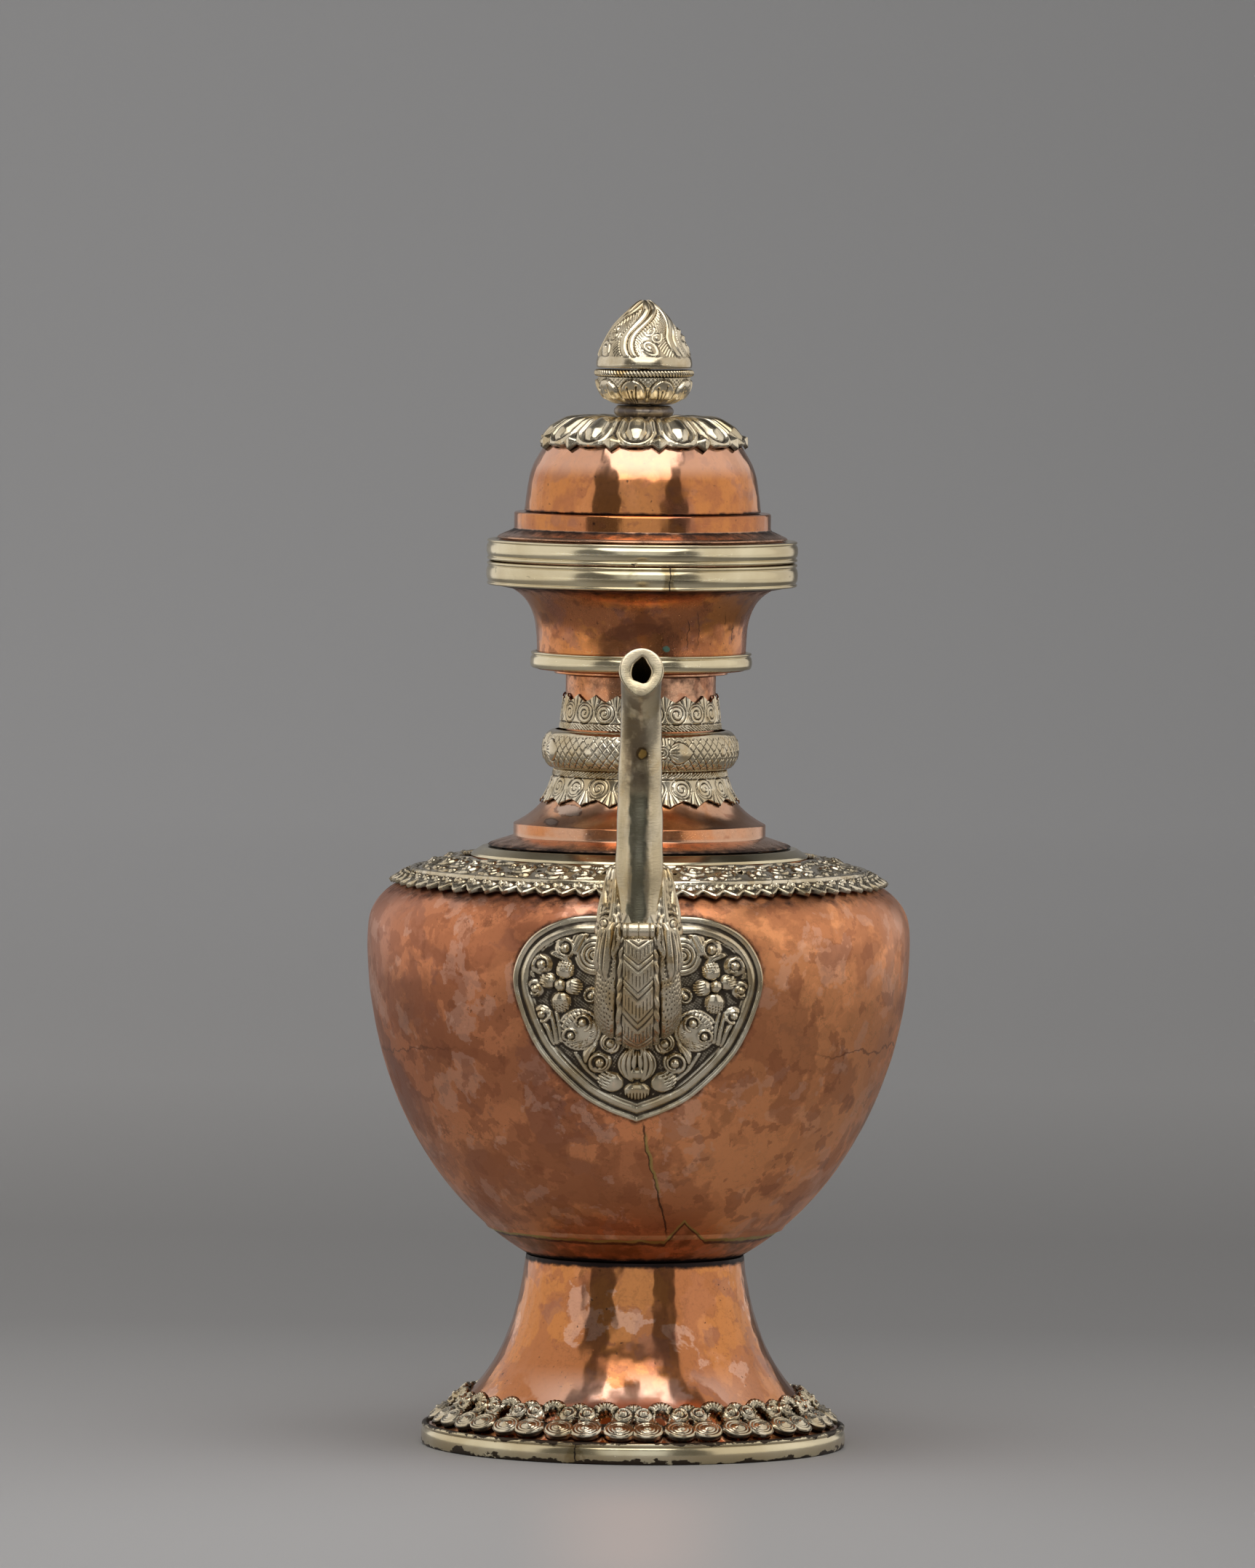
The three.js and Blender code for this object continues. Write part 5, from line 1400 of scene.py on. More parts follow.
def flowers(x, z):
    # the plate's chasing on its left half: scrolls, a flower, leaves, a shell and a lotus at the point
    inShell = np.hypot(x + 19.3, z - 151.6)
    fine = np.abs(np.cos(np.arctan2(z - 149, x + 15) * 22)) ** 4 * (inShell > 3.6)
    shell = 1.5 * np.clip(1 - (inShell / 7.2) ** 4, 0, 1) ** 0.5
    shell *= 1 - 0.28 * fine - 0.4 * groove(inShell - 6.2, 0.5)
    inSwirl = np.hypot(x + 14.6, z - 176.9)
    swirl = 1.5 * np.clip(1 - (inSwirl / 6.6) ** 4, 0, 1) ** 0.5
    swirl *= 1 - 0.4 * np.abs(np.cos(inSwirl * 2.1)) ** 5
    return np.maximum.reduce([
        swirl,
        leaf(x, z, (-21.4, 176.6), (-16.4, 185.4), 2.7, 1.7, 0.8, 4),
        curl(x, z, (-24.2, 178.9), 3.8, -1, 200, 2.1),
        curl(x, z, (-32.0, 173.4), 3.7, -1, 120, 2.1),
        curl(x, z, (-34.2, 165.2), 3.0, 1, 60, 1.8),
        curl(x, z, (-15.6, 163.3), 2.8, 1, 60, 1.9),
        curl(x, z, (-32.0, 156.6), 3.2, -1, 330, 1.9),
        leaf(x, z, (-29.6, 177.4), (-22.0, 174.0), 1.5, 1.4, 0.8, 2),
        boss(x, z, (-25.8, 166.7), (2.2, 2.2), 2.6),
        petal(x, z, (-24.4, 171.9), 74, (3.4, 3.2), 2.1),
        petal(x, z, (-29.9, 168.0), 165, (3.1, 2.7), 2.0),
        petal(x, z, (-21.5, 166.2), -8, (3.2, 2.9), 2.0),
        petal(x, z, (-25.6, 160.9), 268, (3.7, 3.4), 2.1),
        stroke(x, z, [(-28.2, 146.8), (-29.4, 151.0), (-31.6, 154.2)], (0.9, 0.9, 0.5), 1.4),
        stroke(x, z, [(-26.8, 147.2), (-27.6, 152.0), (-29.2, 157.5)], (0.9, 0.9, 0.5), 1.5),
        stroke(x, z, [(-25.4, 147.8), (-26.0, 152.5), (-27.2, 157.4)], (0.8, 0.8, 0.5), 1.4),
        stroke(x, z, [(-34.2, 158.6), (-36.2, 161.4), (-36.8, 165.4)], (0.6, 0.8, 0.5), 1.2),
        stroke(x, z, [(-35.0, 169.4), (-36.2, 173.4), (-34.0, 177.6)], (0.5, 0.8, 0.5), 1.2),
        shell,
        curl(x, z, (-18.2, 154.4), 3.5, 1, 250, 2.6),
        curl(x, z, (-22.0, 149.8), 3.1, -1, 120, 2.5),
        curl(x, z, (-9.0, 147.4), 3.7, 1, 260, 2.2),
        curl(x, z, (-12.4, 140.8), 4.0, -1, 100, 2.4),
        leaf(x, z, (-17.4, 140.0), (-13.0, 147.8), 1.7, 1.3, 0.9, 3),
        stroke(x, z, [(-20.6, 143.6), (-17.2, 138.6), (-13.4, 135.0)], (0.5, 0.8, 0.5), 1.0),
        leaf(x, z, (-1.4, 133.8), (-0.9, 147.2), 2.9, 2.0, 2.6, 3),
        leaf(x, z, (-0.9, 137.6), (-0.2, 144.8), 1.2, 1.4, 0.6, 0),
        petal(x, z, (-8.9, 134.2), 160, (4.6, 3.7), 2.0, 2.8),
        boss(x, z, (0, 137.2), (3.0, 2.3), 2.4),
        petal(x, z, (0, 130.9), 270, (3.1, 4.6), 2.1, 2.8),
    ])


def spoutPlate():
    look = plateLook
    rim = heartOutline()
    dx, dz = rim[:, 0], rim[:, 1] - look["centre"]
    bearing = np.unwrap(np.arctan2(dz, dx))
    order = np.argsort(bearing % fullTurn)
    turns = np.linspace(0, fullTurn, look["columns"] + 1)
    reach = np.interp(turns, (bearing % fullTurn)[order], np.hypot(dx, dz)[order], period=fullTurn)
    reach[-1] = reach[0]
    slope = np.gradient(reach, turns)
    square = reach / np.hypot(reach, slope)
    square = np.convolve(np.concatenate([square[-4:], square, square[:4]]), np.ones(9) / 9, "valid")
    turn, share = np.meshgrid(turns, 1 - np.linspace(0, 1, look["rows"] + 1) ** 0.93)
    x = share * reach * np.cos(turn)
    z = look["centre"] + share * reach * np.sin(turn)
    onBody = bodyReach(z)
    places = np.stack([x, -np.sqrt(np.maximum(onBody**2 - x**2, 1)), z], axis=2)
    inset = (1 - share) * reach * square
    left = -np.abs(x)
    relief = flowers(left, z) * np.clip((inset - 5.2) / 0.4, 0, 1)
    ground = (relief < 0.2) * (inset > 5.4)
    relief += 0.14 * np.sin(x * 5.3 + z) * np.sin(z * 4.9 - x) * ground
    relief = np.maximum(relief, ridge(inset - 0.8, 0.9, 1.2))
    relief = np.maximum(relief, ridge(inset - 4.0, 1.3, 1.1))
    relief = np.maximum(relief, ridge(inset - 5.65, 0.4, 0.6))
    frameDirt = 0.15 * groove(inset - 2.3, 0.9) - 0.2 * (inset < 4.8) + 0.42 * ground
    relief = np.maximum(relief, 0.35 * (inset > 1.5) * (inset < 3.0)) + look["standoff"]
    bm = pressed(places, relief, edge=2.4, cavity=0.45, dirt=frameDirt)
    chase("spoutPlate", bm, "vessel", "spout_plate")


collarLook = {"columns": 760, "rows": 40, "lappets": 20}


def collarRelief(turn, reach, fromKnop):
    # rope strip by the knop, then a scroll for each lappet, hatched fans between them at the points
    x, up = turn * reach, fromKnop - 5.9
    relief = 0.5 * np.ones_like(x)
    relief -= 0.5 * groove((x + fromKnop * 1.5 + 60) % 1.4 - 0.7, 0.42) * (fromKnop < 2.0)
    relief -= 0.5 * groove(fromKnop - 2.35, 0.42)
    inScroll = np.hypot(x, up)
    phase = inScroll / 1.55 - np.arctan2(up, x) / fullTurn
    relief -= 0.45 * groove((phase % 1) - 0.5, 0.22) * (inScroll < 3.3) * (inScroll > 0.5)
    relief -= 0.5 * groove(inScroll - 3.65, 0.42)
    edgeX = math.pi / collarLook["lappets"] * reach - np.abs(x)
    fan = np.arctan2(edgeX, fromKnop - 5.0)
    relief -= 0.4 * np.abs(np.cos(fan * 8)) ** 5 * ((fromKnop > 6.6) & (inScroll > 4.1))
    return relief


def collar(name, node, path, tipsUp):
    # path runs upwards
    length = pathLength(path)
    angles, share = turnedGrid(collarLook["columns"], collarLook["rows"])
    turn, unit = folded(angles, collarLook["lappets"], 0.5)
    notch = 2.7 * (1 - np.abs(turn) / (math.pi / collarLook["lappets"])) ** 0.7
    notch = np.maximum(notch + 0.3 * wobble(unit, 7), 0)
    distance = share * (length - notch) if tipsUp else mix(notch, length, share)
    places, reach = onPath(path, angles, distance)
    fromKnop = distance if tipsUp else length - distance
    relief = collarRelief(turn, reach, fromKnop)
    chase(name, pressed(places, relief, edge=0.6, cavity=0.2, blur=2), "vessel", node)


def collars():
    low, high = levels("upper_lappet_collar")[:2]
    collar("upperCollar", "upper_lappet_collar", np.array([(27.9, low), (26.5, high)]), True)
    low, high = levels("lower_lappet_collar")[:2]
    cone = np.array([p for p in offset(conePath(), 0.5) if low - 0.5 < p[1] < high + 0.5])
    foot = (np.interp(low, cone[:, 1], cone[:, 0]), low)
    cone = np.vstack([[foot], cone[(cone[:, 1] > low) & (cone[:, 1] < high)]])
    cone = np.vstack([cone, [(cone[-1, 0] - 0.3, high)]])
    collar("lowerCollar", "lower_lappet_collar", cone, False)


def knop():
    # a lattice of cut lines with four flowers, each a ring between two leaves and two uprights
    low, high, outer = levels("neck_knop")
    inner, middle, half = 29.6, (low + high) / 2, (high - low) / 2
    arc = []
    for a in np.radians(np.linspace(-90, 90, 41)):
        arc.append((mix(inner, outer, math.cos(a) ** 0.9), middle + half * math.sin(a)))
    path = np.array([(inner, low), *arc, (inner, high)])
    angles, share = turnedGrid(768, 66)
    distance = share * pathLength(path)
    places = onPath(path, angles, distance)[0]
    x, y = folded(angles, 4, -13 / 90)[0] * outer, distance - pathLength(path) / 2
    pitch = 3.3
    lattice = np.minimum(np.abs((x + 0.8 * y) % pitch - pitch / 2), np.abs((x - 0.8 * y) % pitch - pitch / 2))
    relief = 0.1 - 0.42 * groove(lattice, 0.36) * np.clip((6.6 - np.abs(y + 0.7)) / 0.8, 0, 1)
    side = np.abs(x)
    halfLeaf = 4.2 * np.sin(math.pi * np.clip((side - 2.4) / 9.4, 0, 1) ** 0.75) ** 0.8
    inLeaf = (side > 2.4) & (side < 11.8) & (np.abs(y) < halfLeaf)
    veins = np.abs(np.cos(np.arctan2(y, side - 0.5) * 12)) ** 6 * np.clip((6.4 - side) / 2, 0, 1)
    relief = np.where(inLeaf, 0.3 - 0.3 * veins, relief)
    relief -= 0.45 * groove(np.abs(y) - halfLeaf, 0.45) * (side > 2.2) * (side < 12)
    upright = (side < 2.6) & (np.abs(y) > 2.8) & (np.abs(y) < 7.0 - 0.5 * side**1.2)
    relief = np.where(upright, 0.25 - 0.35 * np.abs(np.cos(x * 2.8)) ** 6, relief)
    ring = np.hypot(x, y)
    eye = 0.4 - 0.5 * groove(ring - 2.3, 0.4) - 0.45 * groove(ring - 1.2, 0.35)
    relief = np.where(ring < 2.7, eye, relief)
    relief -= 0.5 * np.clip(1 - ring / 0.6, 0, 1)
    bm = pressed(places, relief - 0.3, cavity=0.2, blur=2)
    chase("neckKnop", bm, "vessel", "neck_knop")


lotusLook = {"petals": 13, "columns": 702, "rows": 80, "turn": 0.17}


def lotusCap():
    look = lotusLook
    low = levels("lotus_cap")[0]
    dome = domePath()
    crown = evenly(np.vstack([dome, [(lidSizes["stemHole"], dome[-1][1])]]), 0.5)
    path = within(offset(crown, standoff - 0.2), 36.6, 2.6)
    path = path[path[:, 1] > low - 1.9]
    length = pathLength(path)
    angles, share = turnedGrid(look["columns"], look["rows"])
    turn, unit = folded(angles, look["petals"], look["turn"])
    half = math.pi / look["petals"]
    odd = wobble(unit, 9)
    x0 = turn / half
    petalEdge = 1.6 + 2.6 * np.abs(x0) ** 3
    stud = 0.1 + 8.0 * (1 - np.abs(x0))
    edge = np.maximum(np.minimum(petalEdge, stud) + 0.3 * odd, 0)
    distance = mix(edge, length, share)
    places, reach = onPath(path, angles, distance)
    x, along = turn * reach, distance
    side = 0.8 * half * reach
    fromRim = np.where(along > 8.4, np.abs(x), np.hypot(x, (along - 8.4) * side / 6.3)) - side
    taper = np.clip((length - 4 - along) / 12, 0, 1)
    relief = 0.7 * np.clip(1 + fromRim / 1.5, 0, 1) * (fromRim < 0) * 0.3 + ridge(fromRim, 0.9, 0.9)
    relief = np.maximum(relief * taper, 0.1)
    wide = np.interp(along, [3.0, 4.2, 7.5, 12, 20, 27], [0.1, 2.2, 3.7, 3.2, 2.0, 0.5])
    tall = np.interp(along, [3.0, 4.5, 8, 14, 22, 27], [0.3, 1.5, 2.0, 1.5, 0.9, 0.2])
    drop = tall * np.sqrt(np.clip(1 - (x / wide) ** 2, 0, 1)) * (along > 3.0)
    relief = np.maximum(relief, drop)
    edgeX = half * reach - np.abs(x)
    studs = 2.3 * np.clip(1 - edgeX / 4.3 - np.abs(along - 3.3) / 3.4, 0, 1)
    relief = np.maximum(relief, studs)
    relief -= 0.35 * groove(edgeX, 0.6) * (along > 7) * taper
    bm = pressed(places, relief, edge=1.3, cavity=0.8, blur=4)
    chase("lotusCap", bm, "lid", "lotus_cap")


def finialCollar():
    low, high, outer = levels("finial_collar")
    hole = lidSizes["stemHole"]
    torus = [(hole, low), (outer - 1.2, low), (outer, low + 1.4)]
    torus += [(outer, high - 1.4), (outer - 1.2, high), (hole, high)]
    mesh = meshOf(spun(rounded(torus, 1.3), 180), "finialCollar")
    makePiece("finialCollar", mesh, tarnish(), "lid", "tarnished_collar", "finial_collar")


def finialCalyx():
    # arched petals with slits, and a fine lattice between their tips
    low, high, outer = levels("finial_calyx")
    bowl, petals = [(lidSizes["stemHole"], low)], 9
    for a in np.radians(np.linspace(0, 90, 30)):
        bowl.append((mix(8, outer, math.sin(a) ** 0.9), high - (high - low) * math.cos(a)))
    path = evenly(bowl, 0.3)
    angles, share = turnedGrid(630, 60)
    distance = share * pathLength(path)
    places, reach = onPath(path, angles, distance)
    x = folded(angles, petals, 15 / 40)[0] * reach
    half = math.pi / petals
    up = (places[..., 2] - low) / (high - low)
    arch = half * reach * 0.93 * np.sqrt(np.clip(1 - ((up - 0.25) / 0.66) ** 2, 0, 1)) ** 0.8
    inside = np.clip((arch - np.abs(x)) / 1.0, 0, 1)
    relief = inside * np.clip(up * 4, 0, 1)
    relief -= 0.45 * groove(arch - np.abs(x), 0.5)
    for across, top in ((-0.42, 0.62), (-0.05, 0.5), (0.3, 0.68)):
        slit = x - across * half * reach * (0.5 + 0.5 * up)
        relief -= 0.7 * groove(slit, 0.36) * (up < top) * (up > 0.05) * inside
        relief -= 0.6 * np.clip(1 - np.hypot(slit, (up - top) * (high - low)) / 0.55, 0, 1)
    lattice = np.minimum(np.abs((x + places[..., 2]) % 1.6 - 0.8), np.abs((x - places[..., 2]) % 1.6 - 0.8))
    relief -= 0.25 * groove(lattice, 0.3) * (1 - inside) * (up > 0.5)
    bm = pressed(places, (relief - 0.75) * np.clip(up * 5, 0, 1), cavity=0.35, blur=3)
    chase("finialCalyx", bm, "lid", "finial_calyx", material=finialSilver)


def finialBand():
    low, high, outer = levels("finial_band")
    hole, bend = lidSizes["stemHole"], 1.1
    middle, half = (low + high) / 2, (high - low) / 2
    turns = np.radians(np.linspace(-90, 90, 17))
    arc = [(outer - bend + bend * math.cos(a), middle + half * math.sin(a)) for a in turns]
    path = np.array([(hole, low), *arc, (hole, high)])
    length = pathLength(path)
    angles, share = turnedGrid(720, 26)
    distance = np.interp(share, [0, 0.1, 0.9, 1], [0, outer - 4, length - outer + 4, length])
    places, reach = onPath(path, angles, distance)
    twist = (np.abs(reach) > outer - 2) * (0.5 + 0.5 * np.cos(angles * 84 + (places[..., 2] - middle) * 2.4))
    bm = pressed(places, -0.35 * twist, cavity=0.15, blur=2)
    chase("finialBand", bm, "lid", "finial_band", slot="white_brass", material=goldBand)


def finialBud():
    # stems that sweep round as they rise, with hatched leaves beside them and three scrolls between
    low, high, outer = levels("finial_bud")
    hole, stems = lidSizes["stemHole"], 5
    shares = [(0.99, 0), (0.985, 0.1), (0.93, 0.25), (0.78, 0.47), (0.665, 0.6), (0.45, 0.78), (0.27, 0.9)]
    shares += [(0.12, 0.975), (0, 1)]
    side = smoothPath([(outer / 0.99 * r, mix(low, high - 0.2, z)) for r, z in shares], 8)
    side[:, 0] = np.maximum(side[:, 0], 0)
    path = np.vstack([[(hole, low)], side])
    angles, share = turnedGrid(486, 104)
    length = pathLength(path)
    distance = np.interp(share, [0, 0.04, 1], [0, outer - 3.5, length - 0.01])
    places, reach = onPath(path, angles, distance)
    up = distance - (outer - hole)
    sweep = 0.40 * np.sin(math.pi * np.clip(up / 21, 0, 1.15)) - 0.02 * np.clip(up - 12, 0, None)
    x = folded(angles + sweep, stems, 0.05)[0] * np.maximum(reach, 1.2)
    on = np.clip((up - 4.2) / 0.5, 0, 1)
    relief = np.maximum(0.1, ridge(x + 1.3, 1.5, 0.8) + ridge(x - 1.6, 1.1, 0.7))
    relief -= 0.4 * groove(x + 3.0, 0.35) + 0.4 * groove(x - 0.15, 0.3) + 0.4 * groove(x - 2.9, 0.3)
    hatch = np.abs(np.cos((up * 1.1 + np.abs(x) * 0.8) * 3.1)) ** 3
    relief = np.where((x < -3.0) & (x > -6.8), 0.45 - 0.45 * hatch, relief)
    relief = np.where((x > 3.0) & (x < 5.6), 0.4 - 0.4 * hatch, relief)
    across = np.sign(x) * (math.pi / stems * np.maximum(reach, 1.2) - np.abs(x))
    for centre, size, hand in (((1.2, 7.6), 3.2, 1), ((-2.0, 11.6), 2.5, -1), ((1.2, 14.2), 2.0, 1)):
        inDisc = np.hypot(across - centre[0], up - centre[1]) < size
        relief = np.where(inDisc, scroll(across, up, centre, size, hand, 30, 0.95, 1.7), relief)
    relief = mix(ridge(up - 2.4, 2.2, 0.5), relief, on) * np.clip((length - outer + hole - up) / 1.5, 0, 1)
    relief = relief * (up > 0)
    bm = pressed(places, relief - 0.5, cavity=0.3, blur=3)
    chase("finialBud", bm, "lid", "finial_bud", material=finialSilver)


def tarnish():
    material, tree, shader = metal("tarnishedCollar")
    place = objectPlace(tree)
    worn = ramp(tree, noise(tree, place, 6, 6, 0.6, 0.8), 0.45, 0.6)
    colour = blend(tree, worn, tone(104, 96, 92), tone(150, 138, 124))
    tree.links.new(colour, shader.inputs["Base Color"])
    tree.links.new(scaled(tree, noise(tree, place, 2, 4), 0.28, 0.5), shader.inputs["Roughness"])
    tree.links.new(bumped(tree, noise(tree, place, 1.5, 4), 0.03), shader.inputs["Normal"])
    return material


goldBand = silver("goldenBand", {**silverLook, "tarnish": 1.0})
finialSilver = silver("finialSilver", {**silverLook, "tarnish": 0.3, "recess": 0.7})
footScrolls()
shoulderScrolls()
print("borders made")
spoutPlate()
collars()
knop()
print("plate, collars and knop made")
lotusCap()
finialCollar()
finialCalyx()
finialBand()
finialBud()
print("finial made")


# The spout and the handle: lofts whose rings stand square to a path in the plane of the spout.
# Stations are reach, height, the path's rise above level, half width and half depth.

spoutSizes = {
    "standoff": 23.1, "tipLead": 19.5, "tipHeight": 101.2, "mouthHeight": 15.5, "throatDrop": 12.8,
    "headWidth": 14.8, "headDepth": 14.2, "jawHeight": 34.5, "tubeRadius": 8.2, "topRadius": 6.8,
    "tipRadius": 7.6, "tipLean": 15, "bore": 4.4,
}
tubeReach = bodyRadius + spoutSizes["standoff"]
tipReach = tubeReach + spoutSizes["tipLead"]
mouthHeight = widest + spoutSizes["mouthHeight"]
tipHeight = widest + spoutSizes["tipHeight"]
throatHeight = widest - spoutSizes["throatDrop"]


def loft(stations, side, columns, perStation):
    # side is -1 in front and 1 behind; returns the places, the angles round and the lengths along
    rings = smoothPath(stations, perStation)
    reach, height, angle, halfWidth, halfDepth = (rings[:, [k]] for k in range(5))
    around = np.linspace(0, fullTurn, columns + 1)[None, :] * side
    across = halfWidth * np.sin(around)
    up = halfDepth * np.cos(around)
    out = reach - up * np.sin(np.radians(angle))
    places = np.stack([across, side * out, height + up * np.cos(np.radians(angle))], axis=2)
    steps = np.hypot(np.diff(rings[:, 0]), np.diff(rings[:, 1]))
    along = np.concatenate([[0], np.cumsum(steps)])[:, None] + 0 * around
    return places, around + 0 * along, along


def closed(bm):
    # ends filled
    ends = [side for side in bm.edges if side.is_boundary]
    bmesh.ops.holes_fill(bm, edges=ends, sides=0)
    bmesh.ops.recalc_face_normals(bm, faces=bm.faces)
    return bm


def headStations():
    shares = [
        (-0.12, 0.06, -8, 0.98, 1.1), (0.3, 0.0, -6, 1.0, 1.08), (0.66, 0.1, 28, 1.0, 1.0),
        (0.86, 0.32, 58, 0.97, 0.88), (0.96, 0.66, 80, 0.89, 0.78), (1.0, 1.0, 87, 0.74, 0.7),
    ]
    return [
        (
            mix(bodyRadius, tubeReach, out), mix(throatHeight, mouthHeight, up), angle,
            spoutSizes["headWidth"] * width, spoutSizes["headDepth"] * depth,
        )
        for out, up, angle, width, depth in shares
    ]


def dots(x, y, spacing):
    # punched dots in uneven staggered rows
    row = np.floor(y / spacing)
    place = x / spacing + 0.5 * (row % 2) + 0.2 * np.sin(row * 2.1)
    number = np.floor(place)
    dx = place % 1 - 0.5 + 0.17 * np.sin(number * 5.3 + row * 3.1)
    dy = (y / spacing) % 1 - 0.5 + 0.17 * np.cos(number * 3.7 + row * 4.3)
    return np.clip(1.4 - np.hypot(dx, dy) / 0.22, 0, 1)


def throatRelief(places, around, along):
    # a plated strip between lumpy ridges, punched cheeks beside it and a mane behind, and where dirt sits
    x, z = places[..., 0], places[..., 2]
    side = np.abs(x)
    front = np.clip(-np.cos(around) * 3 + 0.6, 0, 1)
    width = np.interp(z, [150, 166, 179, 190], [4.8, 4.9, 4.7, 4.4])
    strip = front * (side < width) * np.clip((185.6 - z) / 1.2, 0, 1)
    pitch = 6.4
    phase = (along - 0.62 * side) % pitch
    cuts = groove(phase - 0.9, 0.5) + groove(phase - 2.4, 0.45)
    hatching = groove(side % 1.15 - 0.57, 0.34) * (phase > 3.2) * (phase < 6.0)
    relief = strip * (1.5 + 0.3 * (1 - (side / width) ** 2) - 0.6 * cuts - 0.4 * hatching)
    outer = side - width - 1.3
    lumps = 0.5 + 0.5 * np.cos(along * 1.7 + outer * 1.5 + 0.9 * np.sin(along * 0.5 + np.sign(x)))
    relief = np.maximum(relief, front * ridge(outer, 1.45, 1.5) * (0.5 + 0.55 * lumps))
    arc = np.abs(np.abs(around) - math.pi) * spoutSizes["headWidth"]
    cheek = np.clip((arc - 8.0) / 0.8, 0, 1) * np.clip((186 - z) / 2, 0, 1)
    relief += 1.5 * np.sqrt(np.clip(1 - ((arc - 13.6) / 6.0) ** 2, 0, 1)) * cheek
    cheekTop = relief.copy()
    for start, tip, halfWidth, bend in (
        ((12.6, 190.5), (12.0, 168.5), 3.6, 0.9), ((8.6, 190.5), (9.4, 176.5), 1.7, -0.5),
        ((17.4, 190.0), (17.8, 172.0), 2.6, -0.9),
    ):
        relief = np.maximum(relief, front * leaf(arc, z, start, tip, halfWidth, 3.2, bend, 2))
    punched = dots(arc, along, 1.3) * (arc > 8.8) * (arc < 21) * (z < 184) * (relief <= cheekTop)
    relief -= 0.7 * punched
    relief -= 0.9 * groove(arc - 8.0, 0.8) * (z < 184)
    back = np.clip(np.cos(around) * 3 - 0.2, 0, 1)
    mane = 0.5 + 0.5 * np.cos(x * 1.7 + 1.1 * np.sin(along * 0.25))
    return relief + 0.9 * back * mane, 0.5 * punched


def creatureThroat():
    places, around, along = loft(headStations(), -1, 320, 34)
    relief, dirt = throatRelief(places, around, along)
    bm = closed(pressed(places, relief, cavity=0.34, dirt=dirt))
    chase("creatureThroat", bm, "vessel", "spout_creature_throat", "spout_creature_head", slot="white_brass",
          material=castBrass)


def creatureJaw():
    # the jaws round the foot of the tube, with an eye at each side and folds that sweep up and back
    shares = [
        (-0.75, 0.1, 0.8, 0.6), (-0.3, 0.12, 0.9, 0.74), (0, 0.2, 0.88, 0.78), (0.35, 0.3, 0.8, 0.74),
        (0.7, 0.4, 0.72, 0.66), (0.92, 0.52, 0.62, 0.52), (1.0, 0.6, 0.4, 0.34),
    ]
    top = widest + spoutSizes["jawHeight"]
    stations = [
        (
            tubeReach - back * spoutSizes["headDepth"], mix(mouthHeight, top, up), 87,
            spoutSizes["headWidth"] * width, spoutSizes["headDepth"] * depth,
        )
        for up, back, width, depth in shares
    ]
    places, around, _ = loft(stations, -1, 320, 22)
    z = places[..., 2]
    arc = np.abs(np.abs(around) - math.pi) * 11
    relief = 0.25 * np.cos(arc * 1.3 + z * 0.5) + 0.2
    eye = np.hypot(arc - 10.6, z - 189.2)
    relief = np.maximum(relief, boss(arc, z, (10.6, 189.2), (3.4, 3.2), 2.3) - 0.8 * groove(eye - 1.5, 0.5))
    relief = np.maximum(relief, ridge(eye - 4.1, 0.9, 1.2) * (z > 188))
    relief += 0.3 * np.sin(arc * 2.1 + z * 0.9) * np.sin(z * 1.3 - arc) * (arc > 5)
    for points, widths, height in (
        ([(8.6, 186), (8.3, 196), (8.9, 208)], (1.3, 1.2, 0.8), 1.5),
        ([(14.5, 190), (17.5, 194), (20.5, 201)], (1.4, 1.5, 0.7), 1.6),
        ([(15.0, 186), (19.0, 188), (24.0, 194)], (1.5, 1.7, 0.8), 1.7),
        ([(14.5, 182), (19.5, 181), (26.0, 185)], (1.6, 1.8, 0.8), 1.7),
        ([(13.0, 196), (15.0, 201), (14.0, 207)], (1.2, 1.3, 0.8), 1.4),
        ([(19.0, 206), (24.0, 203), (30.0, 206)], (1.2, 1.6, 1.0), 1.3),
        ([(26.0, 180), (31.0, 186), (34.0, 196)], (1.6, 1.6, 1.0), 1.2),
    ):
        relief = np.maximum(relief, stroke(arc, z, points, widths, height))
    relief -= 0.3 * dots(arc, z, 1.4) * (arc > 9) * (z < 181)
    bm = closed(pressed(places, relief, cavity=0.4))
    chase("creatureJaw", bm, "vessel", "spout_creature_head", slot="white_brass", material=castBrass)


def creatureChin():
    # a grooved roll across the front, below the jaws
    roll = [(0, 0.05), (0, 2.8), (3.4, 2.7), (3.8, 2.2), (4.2, 2.7), (5.4, 2.6), (5.7, 0.05)]
    outline = rounded(roll, 0.45, closed=False)
    outline = [(-a, r) for a, r in outline[::-1]] + outline[1:]
    bm = bmesh.new()
    verts = [bm.verts.new((a, -r, 0)) for a, r in outline]
    edges = [bm.edges.new(pair) for pair in zip(verts, verts[1:])]
    axis = {"axis": (1, 0, 0), "cent": (0, 0, 0)}
    bmesh.ops.spin(bm, geom=verts + edges, angle=fullTurn, steps=64, use_merge=True, **axis)
    closed(bm)
    depth = bm.verts.layers.float.new("depth")
    for vert in bm.verts:
        vert[depth] = 0.15 + 0.5 * (3.4 < abs(vert.co.x) < 4.2)
    bmesh.ops.translate(bm, vec=(0, -(tubeReach + 9.3), mouthHeight - 2.9), verts=bm.verts)
    chase("creatureChin", bm, "vessel", "spout_creature_head", slot="white_brass", material=castBrass)


